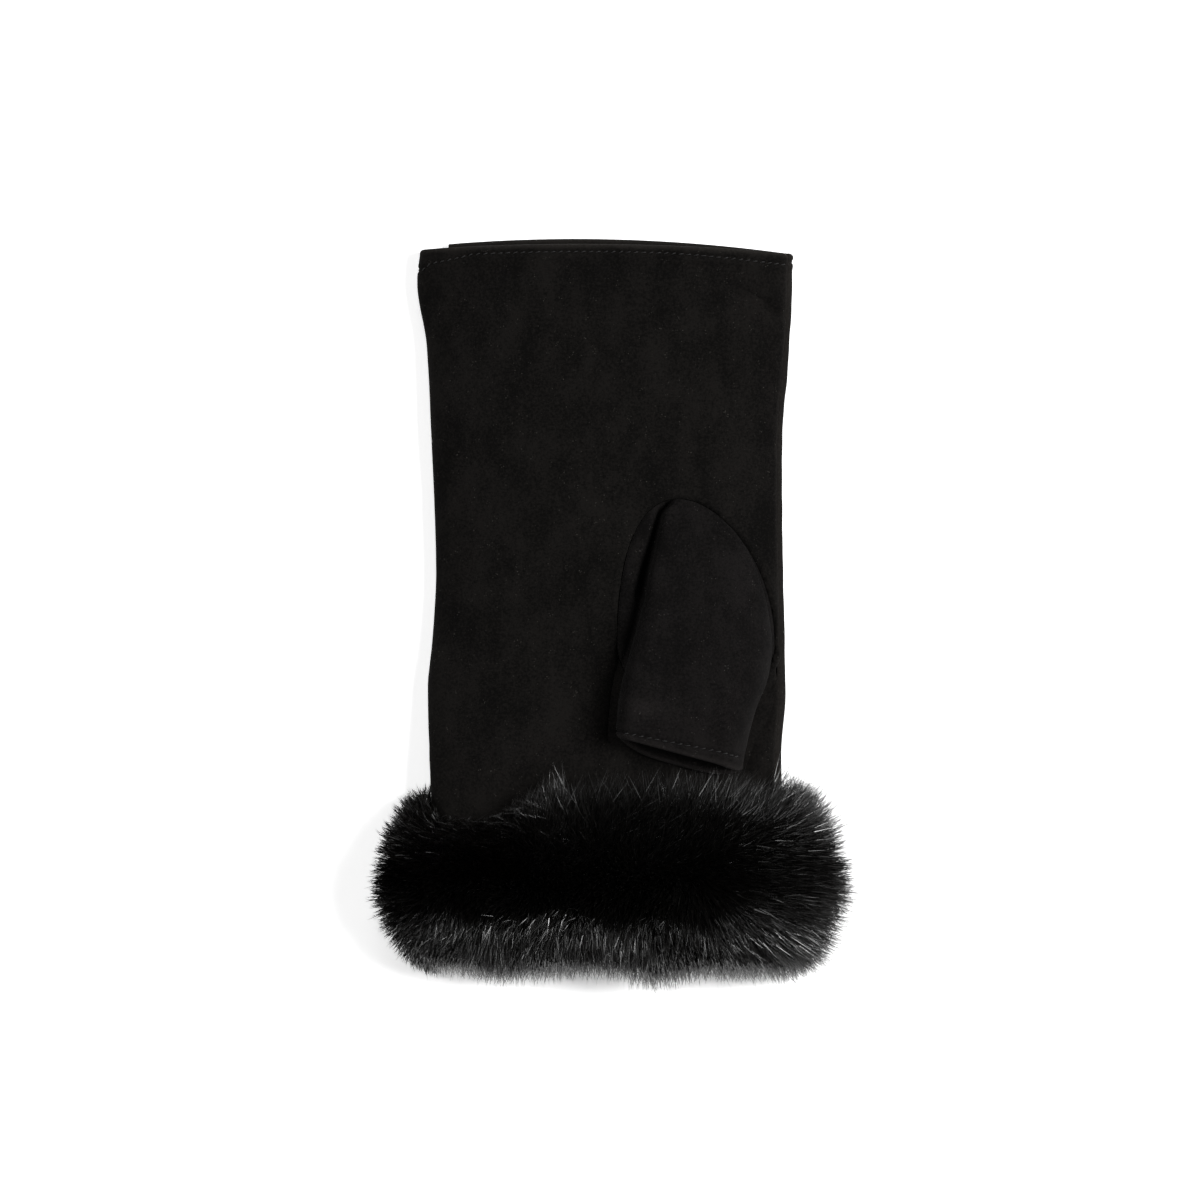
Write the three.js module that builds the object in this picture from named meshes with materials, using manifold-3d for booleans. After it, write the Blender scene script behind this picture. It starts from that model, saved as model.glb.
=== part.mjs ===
// Fingerless mitten of black suede with a deep fur cuff, lying flat with its palm up.
// Millimetres, +Z up. +Y runs from the fur to the plain hem and +X to the thumb's side.
// The origin is on the back panel's flat underside, level with the thumb's root.
import * as THREE from 'three';
import Module from 'manifold-3d';
import { mergeVertices } from 'three/addons/utils/BufferGeometryUtils.js';

const wasm = await Module();
wasm.setup();

// Driving sizes of the leather hand
const LEATHER = 1.2; // thickness of the suede
const SEAM_GAP = 0.3; // clearance between pieces that are sewn together
const HAND_WIDTH = 97.5; // across the two side folds, at the palm
const SIDE_FOLD = 7.0; // thickness of the flattened hand at its side folds
const CROWN = 12.6; // height of the flattened hand along its middle
const ARCH_POWER = 2.4; // how square the palm's arch is across the hand
const HEM_TO_THUMB = 67.8; // from the hem's corners to the top of the thumb's seam
const ORIGIN_TO_THUMB = 30.5; // from the origin to the top of the thumb's seam
const EDGE_SEAM_RISE = 2.2; // height of the right side seam above the fold's widest line
const UNDER_SEAM = 7.7; // from the left fold to the seam on the underside

// Driving sizes of the turned hems
const HEM_TURN = 5.0; // width of leather turned in at a hem
const HEM_WALL = 2.0; // thickness of the doubled leather at a hem
const PALM_BOW = 2.3; // how far the palm's hem stands past its corners
const BACK_BOW = 4.3; // how far the back's hem stands past its corners
const BOW_SHIFT = -0.092; // where the bows peak, as a share of HAND_WIDTH from the middle
const BOW_SPREAD = 0.615; // share of HAND_WIDTH over which a bow falls to the corners' line
const HEM_STEP = 0.3; // length over which the leather thickens at a hem

// Driving sizes of the thumb
const SEAM_WIDTH = 43.4; // width of the oval seam that the thumb is set into
const SEAM_RISE = 40.0; // from the seam's widest line to its top
const SEAM_DROP = 17.0; // from the seam's widest line to the crotch
const SEAM_TIP_LEAN = 5.0; // how far the seam's top stands off its centre line
const THUMB_TO_FOLD = 2.9; // from the seam to the right side fold
const THUMB_LENGTH = 71.1; // from the seam's top to the thumb's open end
const THUMB_HEIGHT = 10.0; // thickness of the flattened thumb at its open end
const THUMB_LEAN = 15.1; // degrees that the thumb turns towards the hand's middle
const LIP = 3.5; // how far the thumb's lower lip stands past its upper lip
const THUMB_TOE = 0.16; // share of the thumb's width over which its left side rounds over
const THUMB_START = 0.03; // share of the thumb's length at which it rises from its seam
const THUMB_ROOM_START = 0.16; // share of it at which the room inside starts
const THUMB_THROAT_START = 0.2; // share of it from which the hand opens into the thumb
const THUMB_THROAT_END = 0.9; // share of it to which the hand opens into the thumb
const SHELF = 0.5; // how far the thumb's leather stands proud of the palm at the seam

// Driving sizes of the fur cuff
const PILE = 16.5; // length of the fur
const BACKING = 1.5; // thickness of the cloth that carries the fur
const BAND = 28.0; // width of the band of fur cloth
const PRESSED_PILE = 3.9; // fur flattened between the cuff and the table
const TIPS_TO_THUMB = 0.8; // from the fur's tips to the thumb's lower lip
const TIPS_BY_THUMB = 0.7; // share of the pile that reaches towards the thumb
const CORE_SHARE = 0.64; // share of the pile that is dense enough to be one mass
const PILE_FAN = 0.4; // how far the fur leans outwards from square to the band, 0 to 1
const FUR_SQUARE = 2.6; // how square the fur's own section is, 2 for an ellipse
const LOCK_RADIUS = 5.6; // radius of one lock of fur at its root
const LOCK_STRAY = 6; // degrees that a lock may lean out of its row
const LOCK_UNEVEN = 0.035; // share of the pile by which the tips differ
const LOCK_BEND = 1.2; // how far a lock's middle bends aside
const LOCK_WAIST = 0.74; // share of its radius that a lock keeps at its middle
const LOCKS_AROUND = 26; // locks in one ring round the cuff
const LOCK_ROWS = [-85, -60, -35, -10, 18, 46, 84]; // degrees, from the free end to the hand

// Facets of the round forms
const ARCH_FACETS = 16;
const FOLD_FACETS = 4;
const FLAT_FACETS = 7;
const PANEL_ROWS = 14;
const SEAM_FACETS = 30;
const THUMB_ROWS = 10;
const THUMB_FLOOR_FACETS = 6;
const THUMB_TOP_FACETS = 10;
const HAND_BLOCK_ROWS = 24;
const CORE_LOOPS = 44;
const CORE_FACETS = 8;
const LOCK_SIDES = 5;

// The hand from its end under the fur (along 0) to the hem (along 1). left and right are
// shares of HAND_WIDTH from the middle, crown is a share of CROWN, lift of the cuff's lift.
const HAND_SECTIONS = [
  { along: 0.0, left: -0.495, right: 0.492, crown: 0.96, lift: 1 },
  { along: 0.14, left: -0.497, right: 0.492, crown: 0.96, lift: 1 },
  { along: 0.24, left: -0.505, right: 0.49, crown: 0.95, lift: 0.64 },
  { along: 0.35, left: -0.508, right: 0.503, crown: 0.96, lift: 0.13 },
  { along: 0.41, left: -0.499, right: 0.501, crown: 0.98, lift: 0 },
  { along: 0.45, left: -0.493, right: 0.5, crown: 0.98, lift: 0 },
  { along: 0.52, left: -0.487, right: 0.496, crown: 1.0, lift: 0 },
  { along: 0.7, left: -0.498, right: 0.493, crown: 1.0, lift: 0 },
  { along: 0.855, left: -0.513, right: 0.513, crown: 1.0, lift: 0 },
  { along: 0.955, left: -0.541, right: 0.522, crown: 1.02, lift: 0 },
  { along: 1.0, left: -0.532, right: 0.523, crown: 1.04, lift: 0 },
];

// The thumb from the top of its seam (along 0) to its open end (along 1). left and right
// are shares of SEAM_WIDTH from the seam's left side, rise is a share of THUMB_HEIGHT, and
// heel is the share of the width over which the top comes down to the right.
const THUMB_SECTIONS = [
  { along: 0.03, left: 0.38, right: 0.6, rise: 0.1, heel: 0.6 },
  { along: 0.08, left: 0.32, right: 0.735, rise: 0.19, heel: 0.7 },
  { along: 0.2, left: 0.265, right: 0.875, rise: 0.38, heel: 0.7 },
  { along: 0.35, left: 0.196, right: 0.955, rise: 0.56, heel: 0.6 },
  { along: 0.5, left: 0.138, right: 0.985, rise: 0.72, heel: 0.45 },
  { along: 0.62, left: 0.081, right: 0.955, rise: 0.83, heel: 0.3 },
  { along: 0.75, left: 0.035, right: 0.88, rise: 0.92, heel: 0.24 },
  { along: 0.88, left: 0.007, right: 0.827, rise: 0.97, heel: 0.22 },
  { along: 1.0, left: -0.009, right: 0.795, rise: 1.0, heel: 0.22 },
];

// The fur round the cuff, from the right side (around 0) over the palm (0.25) to the left
// side (0.5) and under (0.75). The shares are of PILE: out from the band, towards the hand
// and past the free end. The leather shows at the palm's left, where the fur stands up.
const FUR_REACH = [
  { around: 0.0, out: 1.04, hand: 0.8, end: 0.8 },
  { around: 0.04, out: 1.0, hand: 0.95, end: 0.92 },
  { around: 0.09, out: 0.9, hand: TIPS_BY_THUMB, end: 0.95 },
  { around: 0.16, out: 0.8, hand: TIPS_BY_THUMB, end: 1.0 },
  { around: 0.23, out: 0.8, hand: 1.1, end: 0.9 },
  { around: 0.29, out: 0.8, hand: 1.04, end: 0.8 },
  { around: 0.35, out: 0.82, hand: 0.56, end: 0.92 },
  { around: 0.4, out: 0.82, hand: 0.2, end: 0.9 },
  { around: 0.45, out: 0.84, hand: 0.2, end: 0.78 },
  { around: 0.49, out: 0.86, hand: 0.6, end: 0.68 },
  { around: 0.58, out: 0.84, hand: 0.8, end: 0.8 },
  { around: 0.74, out: 0.9, hand: 0.86, end: 0.9 },
  { around: 0.93, out: 0.98, hand: 0.8, end: 0.85 },
  { around: 1.0, out: 1.04, hand: 0.8, end: 0.8 },
];

// Places that follow from the driving sizes
const hemY = ORIGIN_TO_THUMB + HEM_TO_THUMB;
const leanSlope = -Math.tan(THREE.MathUtils.degToRad(THUMB_LEAN));
const seamWideY = ORIGIN_TO_THUMB - SEAM_RISE;
const rimY = ORIGIN_TO_THUMB - THUMB_LENGTH;
const rimRightShare = THUMB_SECTIONS.at(-1).right;
const rimLowestY = rimY + leanSlope * SEAM_WIDTH * (rimRightShare - 0.5) - LIP;
const bandTopY = rimLowestY - TIPS_TO_THUMB - PILE * TIPS_BY_THUMB;
const bandEndY = bandTopY - BAND;
const bandMidY = (bandTopY + bandEndY) / 2;
const handEndY = bandEndY + BACKING;
const handLength = hemY - handEndY;
const cuffLift = PRESSED_PILE + BACKING + SEAM_GAP;
const bowPeakX = BOW_SHIFT * HAND_WIDTH;

// Value of one column of a table at a place between its rows, on a curve that never
// overshoots the rows (a monotone cubic).
function column(rows, place, name, at) {
  const last = rows.length - 1;
  const x = THREE.MathUtils.clamp(at, rows[0][place], rows[last][place]);
  let i = rows.findIndex((row) => row[place] >= x) - 1;
  i = THREE.MathUtils.clamp(i, 0, last - 1);
  const slope = (k) => (rows[k + 1][name] - rows[k][name]) / (rows[k + 1][place] - rows[k][place]);
  const tangent = (k) => {
    if (k === 0 || k === last) return 0;
    const before = slope(k - 1);
    const after = slope(k);
    return before * after <= 0 ? 0 : (2 * before * after) / (before + after);
  };
  const width = rows[i + 1][place] - rows[i][place];
  const t = (x - rows[i][place]) / width;
  const rise = t * t * (3 - 2 * t);
  const value = rows[i][name] + (rows[i + 1][name] - rows[i][name]) * rise;
  return value + width * t * (1 - t) * (tangent(i) * (1 - t) - tangent(i + 1) * t);
}

// The hand's section at a place along it.
function handSection(y) {
  const at = (y - handEndY) / handLength;
  return {
    left: HAND_WIDTH * column(HAND_SECTIONS, 'along', 'left', at),
    right: HAND_WIDTH * column(HAND_SECTIONS, 'along', 'right', at),
    height: CROWN * column(HAND_SECTIONS, 'along', 'crown', at),
    base: cuffLift * column(HAND_SECTIONS, 'along', 'lift', at),
  };
}

// A point of the section's outline, as [x, z]. `turn` runs over the arch from the right
// fold (0) to the left fold (1), round the left fold (to 2), along the underside (to 3)
// and round the right fold (to 4). `inset` moves the point into the wall.
function outline(section, turn, inset) {
  const fold = SIDE_FOLD / 2;
  const foldZ = section.base + fold;
  if (turn <= 1) {
    const half = (section.right - section.left) / 2 - inset;
    const across = Math.cos(turn * Math.PI);
    const reach = Math.sign(across) * Math.abs(across) ** (2 / ARCH_POWER);
    const rise = (section.height - fold - inset) * Math.sin(turn * Math.PI);
    return [(section.left + section.right) / 2 + half * reach, foldZ + rise];
  }
  if (turn <= 2 || turn > 3) {
    const leftSide = turn <= 2;
    const quarter = (leftSide ? 2 - turn : turn - 3) * (Math.PI / 2);
    const radius = fold - inset;
    const centre = leftSide ? section.left + fold : section.right - fold;
    const side = leftSide ? -1 : 1;
    return [centre + side * radius * Math.sin(quarter), foldZ - radius * Math.cos(quarter)];
  }
  const x = THREE.MathUtils.lerp(section.left + fold, section.right - fold, turn - 2);
  return [x, section.base + inset];
}

// Height of the palm at a point of its arch, `inset` into the leather.
function palmHeight(x, y, inset = 0) {
  const section = handSection(y);
  const half = (section.right - section.left) / 2 - inset;
  const across = Math.min(Math.abs(x - (section.left + section.right) / 2) / half, 1);
  const fold = SIDE_FOLD / 2;
  const rise = (section.height - fold - inset) * Math.sqrt(1 - across ** ARCH_POWER);
  return section.base + fold + rise;
}

// Geometry from points and triangles, with its faces turned outwards.
function closedGeometry(points, triangles) {
  let volume = 0;
  const cross = new THREE.Vector3();
  for (const [a, b, c] of triangles) {
    volume += cross.crossVectors(points[b], points[c]).dot(points[a]);
  }
  const order = volume < 0 ? triangles.map(([a, b, c]) => [a, c, b]) : triangles;
  const geometry = new THREE.BufferGeometry().setFromPoints(points);
  geometry.setIndex(order.flat());
  geometry.computeVertexNormals();
  return geometry;
}

// Wall between an outer and an inner grid of points, both indexed [along][across].
function wallGeometry(outer, inner) {
  const rows = outer.length;
  const width = outer[0].length;
  const points = [...outer.flat(), ...inner.flat()];
  const at = (side, i, j) => side * rows * width + i * width + j;
  const triangles = [];
  const quad = (a, b, c, d) => triangles.push([a, b, c], [a, c, d]);
  for (let i = 0; i < rows - 1; i++) {
    for (let j = 0; j < width - 1; j++) {
      quad(at(0, i, j), at(0, i, j + 1), at(0, i + 1, j + 1), at(0, i + 1, j));
      quad(at(1, i, j), at(1, i + 1, j), at(1, i + 1, j + 1), at(1, i, j + 1));
    }
    quad(at(0, i, 0), at(0, i + 1, 0), at(1, i + 1, 0), at(1, i, 0));
    const edge = width - 1;
    quad(at(0, i, edge), at(1, i, edge), at(1, i + 1, edge), at(0, i + 1, edge));
  }
  for (let j = 0; j < width - 1; j++) {
    const end = rows - 1;
    quad(at(0, 0, j), at(1, 0, j), at(1, 0, j + 1), at(0, 0, j + 1));
    quad(at(0, end, j), at(0, end, j + 1), at(1, end, j + 1), at(1, end, j));
  }
  return closedGeometry(points, triangles);
}

// Solid through a row of closed loops. Its ends are closed with fans from their middles,
// or the last one with a fan from `tip`, where a form comes to a point.
function loftGeometry(loops, tip) {
  const size = loops[0].length;
  const middle = (loop) => loop.reduce((sum, p) => sum.add(p), new THREE.Vector3()).divideScalar(size);
  const points = [...loops.flat(), middle(loops[0]), tip ?? middle(loops.at(-1))];
  const last = (loops.length - 1) * size;
  const triangles = [];
  for (let j = 0; j < size; j++) {
    const next = (j + 1) % size;
    for (let i = 0; i < last; i += size) {
      triangles.push([i + j, i + next, i + size + next], [i + j, i + size + next, i + size + j]);
    }
    triangles.push([points.length - 2, next, j], [points.length - 1, last + j, last + next]);
  }
  return closedGeometry(points, triangles);
}

// Ring whose section is a closed loop of points carried round; both ways close.
function ringGeometry(loops) {
  const size = loops[0].length;
  const triangles = [];
  const at = (i, j) => (i % loops.length) * size + (j % size);
  for (let i = 0; i < loops.length; i++) {
    for (let j = 0; j < size; j++) {
      triangles.push([at(i, j), at(i, j + 1), at(i + 1, j + 1)]);
      triangles.push([at(i, j), at(i + 1, j + 1), at(i + 1, j)]);
    }
  }
  return closedGeometry(loops.flat(), triangles);
}

function toSolid(geometry) {
  const bare = new THREE.BufferGeometry();
  bare.setAttribute('position', geometry.getAttribute('position'));
  bare.setIndex(geometry.getIndex());
  const merged = mergeVertices(bare, 1e-4);
  return new wasm.Manifold(new wasm.Mesh({
    numProp: 3,
    vertProperties: new Float32Array(merged.getAttribute('position').array),
    triVerts: new Uint32Array(merged.getIndex().array),
  }));
}

function toGeometry(solid) {
  const mesh = solid.getMesh();
  const geometry = new THREE.BufferGeometry();
  geometry.setAttribute('position', new THREE.BufferAttribute(new Float32Array(mesh.vertProperties), 3));
  geometry.setIndex(new THREE.BufferAttribute(new Uint32Array(mesh.triVerts), 1));
  geometry.computeVertexNormals();
  return geometry;
}

const steps = (from, to, count) =>
  Array.from({ length: count + 1 }, (_, i) => THREE.MathUtils.lerp(from, to, i / count));

// Turns at which every piece round the hand has its edges, so that their facets run
// parallel: over the arch, round the left fold, along the underside, round the right fold.
const ringTurns = [
  ...steps(0, 1, ARCH_FACETS).slice(0, -1),
  ...steps(1, 2, FOLD_FACETS).slice(0, -1),
  ...steps(2, 3, FLAT_FACETS).slice(0, -1),
  ...steps(3, 4, FOLD_FACETS).slice(0, -1),
];

// The ring turns that lie between two others, with those two at the ends.
function turnsBetween(from, to) {
  const apart = 0.004;
  const inner = ringTurns.filter((turn) => turn > from + apart && turn < to - apart);
  return [from, ...inner, to];
}

// Panels of the leather hand

// How far along the edge of a panel reaches at the hem: a bow that peaks off the middle.
function hemEdge(x, bow) {
  const fall = (x - bowPeakX) / (HAND_WIDTH * BOW_SPREAD);
  return hemY + bow * (1 - fall * fall);
}

// Turn at which the side seam crosses the arch, `shift` above or below its middle.
function edgeSeamTurn(section, shift) {
  return Math.asin((EDGE_SEAM_RISE + shift) / (section.height - SIDE_FOLD / 2)) / Math.PI;
}

// Turn at which the underside's seam runs, `shift` to the right of its middle.
function underSeamTurn(section, shift) {
  const span = section.right - section.left - SIDE_FOLD;
  return 2 + (UNDER_SEAM + shift - SIDE_FOLD / 2) / span;
}

// A panel of the hand. `turnsAt` gives the turns across it for a section, and `edge` the
// place of its hem for a point across.
function panel(turnsAt, edge) {
  const turned = HEM_TURN / handLength;
  const stepStart = 1 - turned - HEM_STEP / handLength;
  const along = [...steps(0, stepStart, PANEL_ROWS), 1 - turned, 1];
  const wallPoint = (share, turn, inset) => {
    const section = handSection(handEndY + share * handLength);
    const [x, z] = outline(section, turn, inset);
    const reach = edge(outline(section, turn, 0)[0], turn);
    return new THREE.Vector3(x, handEndY + share * (reach - handEndY), z);
  };
  const grid = (insetAt) => along.map((share) => {
    const turns = turnsAt(handSection(handEndY + share * handLength));
    return turns.map((turn) => wallPoint(share, turn, insetAt(share)));
  });
  return wallGeometry(grid(() => 0), grid((share) => (share >= 1 - turned ? HEM_WALL : LEATHER)));
}

// The palm runs from the right side seam over the arch, round the left fold and under.
function palmTurns(section) {
  const from = edgeSeamTurn(section, SEAM_GAP / 2);
  return turnsBetween(from, underSeamTurn(section, -SEAM_GAP / 2));
}

// The back runs from the underside's seam to the right fold and up to the side seam.
function backTurns(section) {
  const from = underSeamTurn(section, SEAM_GAP / 2);
  return [...turnsBetween(from, 4), edgeSeamTurn(section, -SEAM_GAP / 2)];
}

// Outline of the thumb's seam, `inset` inside it, as [x, y] pairs.
const seamCentreX = handSection(seamWideY).right - THUMB_TO_FOLD - SEAM_WIDTH / 2;
function seamOutline(inset) {
  return steps(0, 2 * Math.PI, SEAM_FACETS).slice(0, -1).map((angle) => {
    const upper = Math.sin(angle) > 0;
    const lean = upper ? SEAM_TIP_LEAN * Math.sin(angle) ** 2 : 0;
    const reach = (upper ? SEAM_RISE : SEAM_DROP) - inset;
    const x = seamCentreX - lean + (SEAM_WIDTH / 2 - inset) * Math.cos(angle);
    return [x, seamWideY + reach * Math.sin(angle)];
  });
}

// Upright block with the seam's outline.
function seamBlock(inset, low, high) {
  const ring = (z) => seamOutline(inset).map(([x, y]) => new THREE.Vector3(x, y, z));
  return toSolid(loftGeometry([ring(low), ring(high)]));
}

function palmGeometry() {
  const cornerX = handSection(hemY).left;
  const edge = (x, turn) => hemEdge(turn > 1 ? cornerX : x, PALM_BOW);
  const whole = toSolid(panel(palmTurns, edge));
  const hole = seamBlock(-SEAM_GAP / 2, 0, 3 * CROWN);
  return toGeometry(whole.subtract(hole));
}

const backGeometry = () => panel(backTurns, (x) => hemEdge(x, BACK_BOW));

// Thumb

const seamLeftX = seamCentreX - SEAM_WIDTH / 2;
const thumbValue = (name, share) => column(THUMB_SECTIONS, 'along', name, share);

// Shares from 0 to 1 that lie closer together at both ends.
const rounded = (count) => steps(0, Math.PI, count).map((angle) => (1 - Math.cos(angle)) / 2);
const floorShares = rounded(THUMB_FLOOR_FACETS);
const topShares = rounded(THUMB_TOP_FACETS).slice(1, -1).reverse();

// Rise of a rounded shoulder from 0 at its foot to 1 after `span`.
const shoulder = (t, span) => Math.sqrt(1 - (1 - Math.min(t / span, 1)) ** 2);

// Closed loop of the flattened thumb at a share along it: along its floor from left to
// right, then back over its top. `inset` is the wall left outside the loop, `past` moves
// the loop on towards the open end, `sink` lowers its floor alone, and `full` is the share
// of the height that it keeps.
function thumbLoop(share, { inset = 0, past = 0, sink = 0, full = 1 }) {
  const left = seamLeftX + SEAM_WIDTH * thumbValue('left', share) + inset;
  const right = seamLeftX + SEAM_WIDTH * thumbValue('right', share) - inset;
  const height = Math.max(THUMB_HEIGHT * thumbValue('rise', share) - 2 * inset, SEAM_GAP);
  const heel = thumbValue('heel', share);
  const lineY = ORIGIN_TO_THUMB - share * THUMB_LENGTH - past;
  const place = (t, lift) => {
    const x = THREE.MathUtils.lerp(left, right, t);
    const lip = LIP * Math.max(2 * share - 1, 0) * (1 - (2 * t - 1) ** 4) * (1 - lift);
    const y = lineY + leanSlope * (x - seamCentreX) - lip;
    return new THREE.Vector3(x, y, palmHeight(x, y) + SEAM_GAP + inset + lift * height * full);
  };
  const floor = floorShares.map((t) => place(t, 0).setZ(place(t, 0).z - sink));
  const top = topShares.map((t) => place(t, shoulder(t, THUMB_TOE) * shoulder(1 - t, heel)));
  return [...floor, ...top];
}

// Solid through the thumb's loops between two shares along it.
function thumbLoft(from, to, shape) {
  const rows = Math.ceil((to - from) * THUMB_ROWS) + 1;
  const loops = steps(from, to, rows).map((share) => thumbLoop(share, { ...shape, past: 0 }));
  return toSolid(loftGeometry(shape.past ? [...loops, thumbLoop(to, shape)] : loops));
}

// The leather that fills the seam's oval, as thick as the palm and a little proud of it.
function thumbRoot() {
  const rings = (heightAt) => [0.01, 0.55, 1].map((share) =>
    seamOutline(SEAM_GAP / 2).map(([edgeX, edgeY]) => {
      const x = THREE.MathUtils.lerp(seamCentreX, edgeX, share);
      const y = THREE.MathUtils.lerp(seamWideY, edgeY, share);
      return new THREE.Vector3(x, y, heightAt(x, y));
    }));
  const top = rings((x, y) => palmHeight(x, y) + SHELF);
  const bottom = rings((x, y) => palmHeight(x, y, LEATHER)).reverse();
  return toSolid(loftGeometry([...top, ...bottom]));
}

function thumbGeometry() {
  const turned = 1 - HEM_TURN / THUMB_LENGTH;
  const hood = thumbLoft(THUMB_START, 1, {});
  const hoodFoot = thumbLoft(THUMB_START, 1, { sink: LEATHER });
  const foot = hoodFoot.intersect(seamBlock(SEAM_GAP / 2, 0, 4 * CROWN));
  const sleeve = thumbLoft(THUMB_ROOM_START, turned, { inset: LEATHER });
  const mouthStart = turned - LEATHER / THUMB_LENGTH;
  const mouth = thumbLoft(mouthStart, 1, { inset: HEM_WALL, past: LIP + LEATHER });
  const throat = { inset: 1.5 * LEATHER, sink: 5 * LEATHER, full: 0.5 };
  const shaft = thumbLoft(THUMB_THROAT_START, THUMB_THROAT_END, throat);
  const opening = shaft.intersect(seamBlock(SEAM_GAP / 2 + LEATHER, 0, 4 * CROWN));
  const leather = thumbRoot().add(hood).add(foot);
  return toGeometry(leather.subtract(sleeve).subtract(mouth).subtract(opening));
}

// Fur cuff

// A repeatable number between -1 and 1 for a pair of counts.
function wobble(i, j) {
  const value = Math.sin(i * 127.1 + j * 311.7) * 43758.5453;
  return 2 * (value - Math.floor(value)) - 1;
}

// Turns round the section, evenly spaced along the middle of the pile.
const cuffSection = handSection(bandMidY);
function evenTurns(count) {
  const pileMiddle = new THREE.CatmullRomCurve3(steps(0, 4, 400).slice(0, -1).map((turn) => {
    const [x, z] = outline(cuffSection, turn, -SEAM_GAP - BACKING - PILE / 2);
    return new THREE.Vector3(x, 0, z);
  }), true);
  return steps(0, 1, count).slice(0, -1).map((share) => pileMiddle.getUtoTmapping(share) * 4);
}

// Direction in which the fur stands at a turn, across the mitten, as [x, z].
function pileDirection(turn) {
  const step = 0.004;
  const [x0, z0] = outline(cuffSection, (turn + 4 - step) % 4, 0);
  const [x1, z1] = outline(cuffSection, (turn + step) % 4, 0);
  const square = new THREE.Vector2(z1 - z0, x0 - x1).normalize();
  const here = outline(cuffSection, turn, 0);
  const wider = outline(cuffSection, turn, -1);
  const spread = new THREE.Vector2(wider[0] - here[0], wider[1] - here[1]).normalize();
  return square.lerp(spread, PILE_FAN).normalize();
}

// Point of the fur at a turn, a place `share` round the cuff, an angle across the band and
// a share of the way from the band's cloth to the tips.
function furPoint(turn, share, angle, depth) {
  const lean = THREE.MathUtils.degToRad(angle);
  const out = column(FUR_REACH, 'around', 'out', share);
  const along = column(FUR_REACH, 'around', angle > 0 ? 'hand' : 'end', share);
  const reach = PILE * depth;
  const outwards = reach * out * Math.abs(Math.cos(lean)) ** (2 / FUR_SQUARE);
  const endwards = reach * along * Math.abs(Math.sin(lean)) ** (2 / FUR_SQUARE);
  const [x, z] = outline(cuffSection, turn, -SEAM_GAP - BACKING);
  const direction = pileDirection(turn);
  const y = bandMidY + (BAND / 2) * (angle / 90) + Math.sign(angle) * endwards;
  return new THREE.Vector3(x + direction.x * outwards, y, z + direction.y * outwards);
}

// The band's cloth and the dense mass of fur on it, before the hand is cut out.
function coreGeometry() {
  const loops = evenTurns(CORE_LOOPS).map((turn, i) => {
    const share = i / CORE_LOOPS;
    const outer = steps(90, -90, CORE_FACETS).map((angle) => furPoint(turn, share, angle, CORE_SHARE));
    const inner = [outer.at(-1).y, outer[0].y].map((y) => {
      const [x, z] = outline(handSection(y), turn, LEATHER);
      return new THREE.Vector3(x, y, z);
    });
    return [...outer, ...inner];
  });
  return ringGeometry(loops);
}

// The hand with the clearance that the cuff keeps from it, as one solid past the fur's end.
function handBlock() {
  const places = steps(bandEndY - 2 * PILE, hemY, HAND_BLOCK_ROWS);
  return toSolid(loftGeometry(places.map((y) => ringTurns.map((turn) => {
    const [x, z] = outline(handSection(y), turn, -SEAM_GAP);
    return new THREE.Vector3(x, y, z);
  }))));
}

// One lock: a pointed tuft that bends a little on its way out.
function lockGeometry(root, tip, radius, bend) {
  const axis = tip.clone().sub(root);
  const turn = new THREE.Quaternion().setFromUnitVectors(
    new THREE.Vector3(0, 0, 1), axis.clone().normalize());
  const corners = steps(0, 2 * Math.PI, LOCK_SIDES).slice(0, -1);
  const ring = (share, size) => corners.map((angle) =>
    new THREE.Vector3(size * Math.cos(angle), size * Math.sin(angle), 0)
      .applyQuaternion(turn).addScaledVector(axis, share).addScaledVector(bend, share).add(root));
  return loftGeometry([ring(0, radius), ring(0.5, radius * LOCK_WAIST)], tip);
}

function cuffGeometry() {
  let fur = toSolid(coreGeometry());
  const turns = evenTurns(2 * LOCKS_AROUND);
  LOCK_ROWS.forEach((angle, row) => {
    for (let i = 0; i < LOCKS_AROUND; i++) {
      const place = 2 * i + (row % 2);
      const share = place / turns.length;
      const lean = THREE.MathUtils.clamp(angle + LOCK_STRAY * wobble(i, row), -90, 90);
      const root = furPoint(turns[place], share, lean, CORE_SHARE / 2);
      const tip = furPoint(turns[place], share, lean, 1 - LOCK_UNEVEN * (1 + wobble(row, i)));
      const bend = new THREE.Vector3(wobble(i + 5, row), wobble(row, i + 9), wobble(i, row + 3));
      if (tip.z > 0) {
        fur = fur.add(toSolid(lockGeometry(root, tip, LOCK_RADIUS, bend.multiplyScalar(LOCK_BEND))));
      }
    }
  });
  const wide = 4 * HAND_WIDTH;
  const ground = new THREE.BoxGeometry(wide, wide, wide).translate(0, bandMidY, -wide / 2);
  const thumbBlock = thumbLoft(THUMB_ROOM_START, 1, { inset: -SEAM_GAP, past: SEAM_GAP });
  return toGeometry(fur.subtract(toSolid(ground)).subtract(handBlock()).subtract(thumbBlock));
}

// Materials and pieces
const suede = () => new THREE.MeshStandardMaterial({ color: 0x171514, roughness: 0.95 });
const fur = () => new THREE.MeshStandardMaterial({ color: 0x0c0b0b, roughness: 0.6 });

function piece(name, geometry, material) {
  const mesh = new THREE.Mesh(geometry, material);
  mesh.name = name;
  return mesh;
}

const mitten = new THREE.Group();
mitten.add(
  piece('palm_panel', palmGeometry(), suede()),
  piece('back_panel', backGeometry(), suede()),
  piece('thumb', thumbGeometry(), suede()),
  piece('fur_cuff', cuffGeometry(), fur()),
);

export default mitten;
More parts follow.
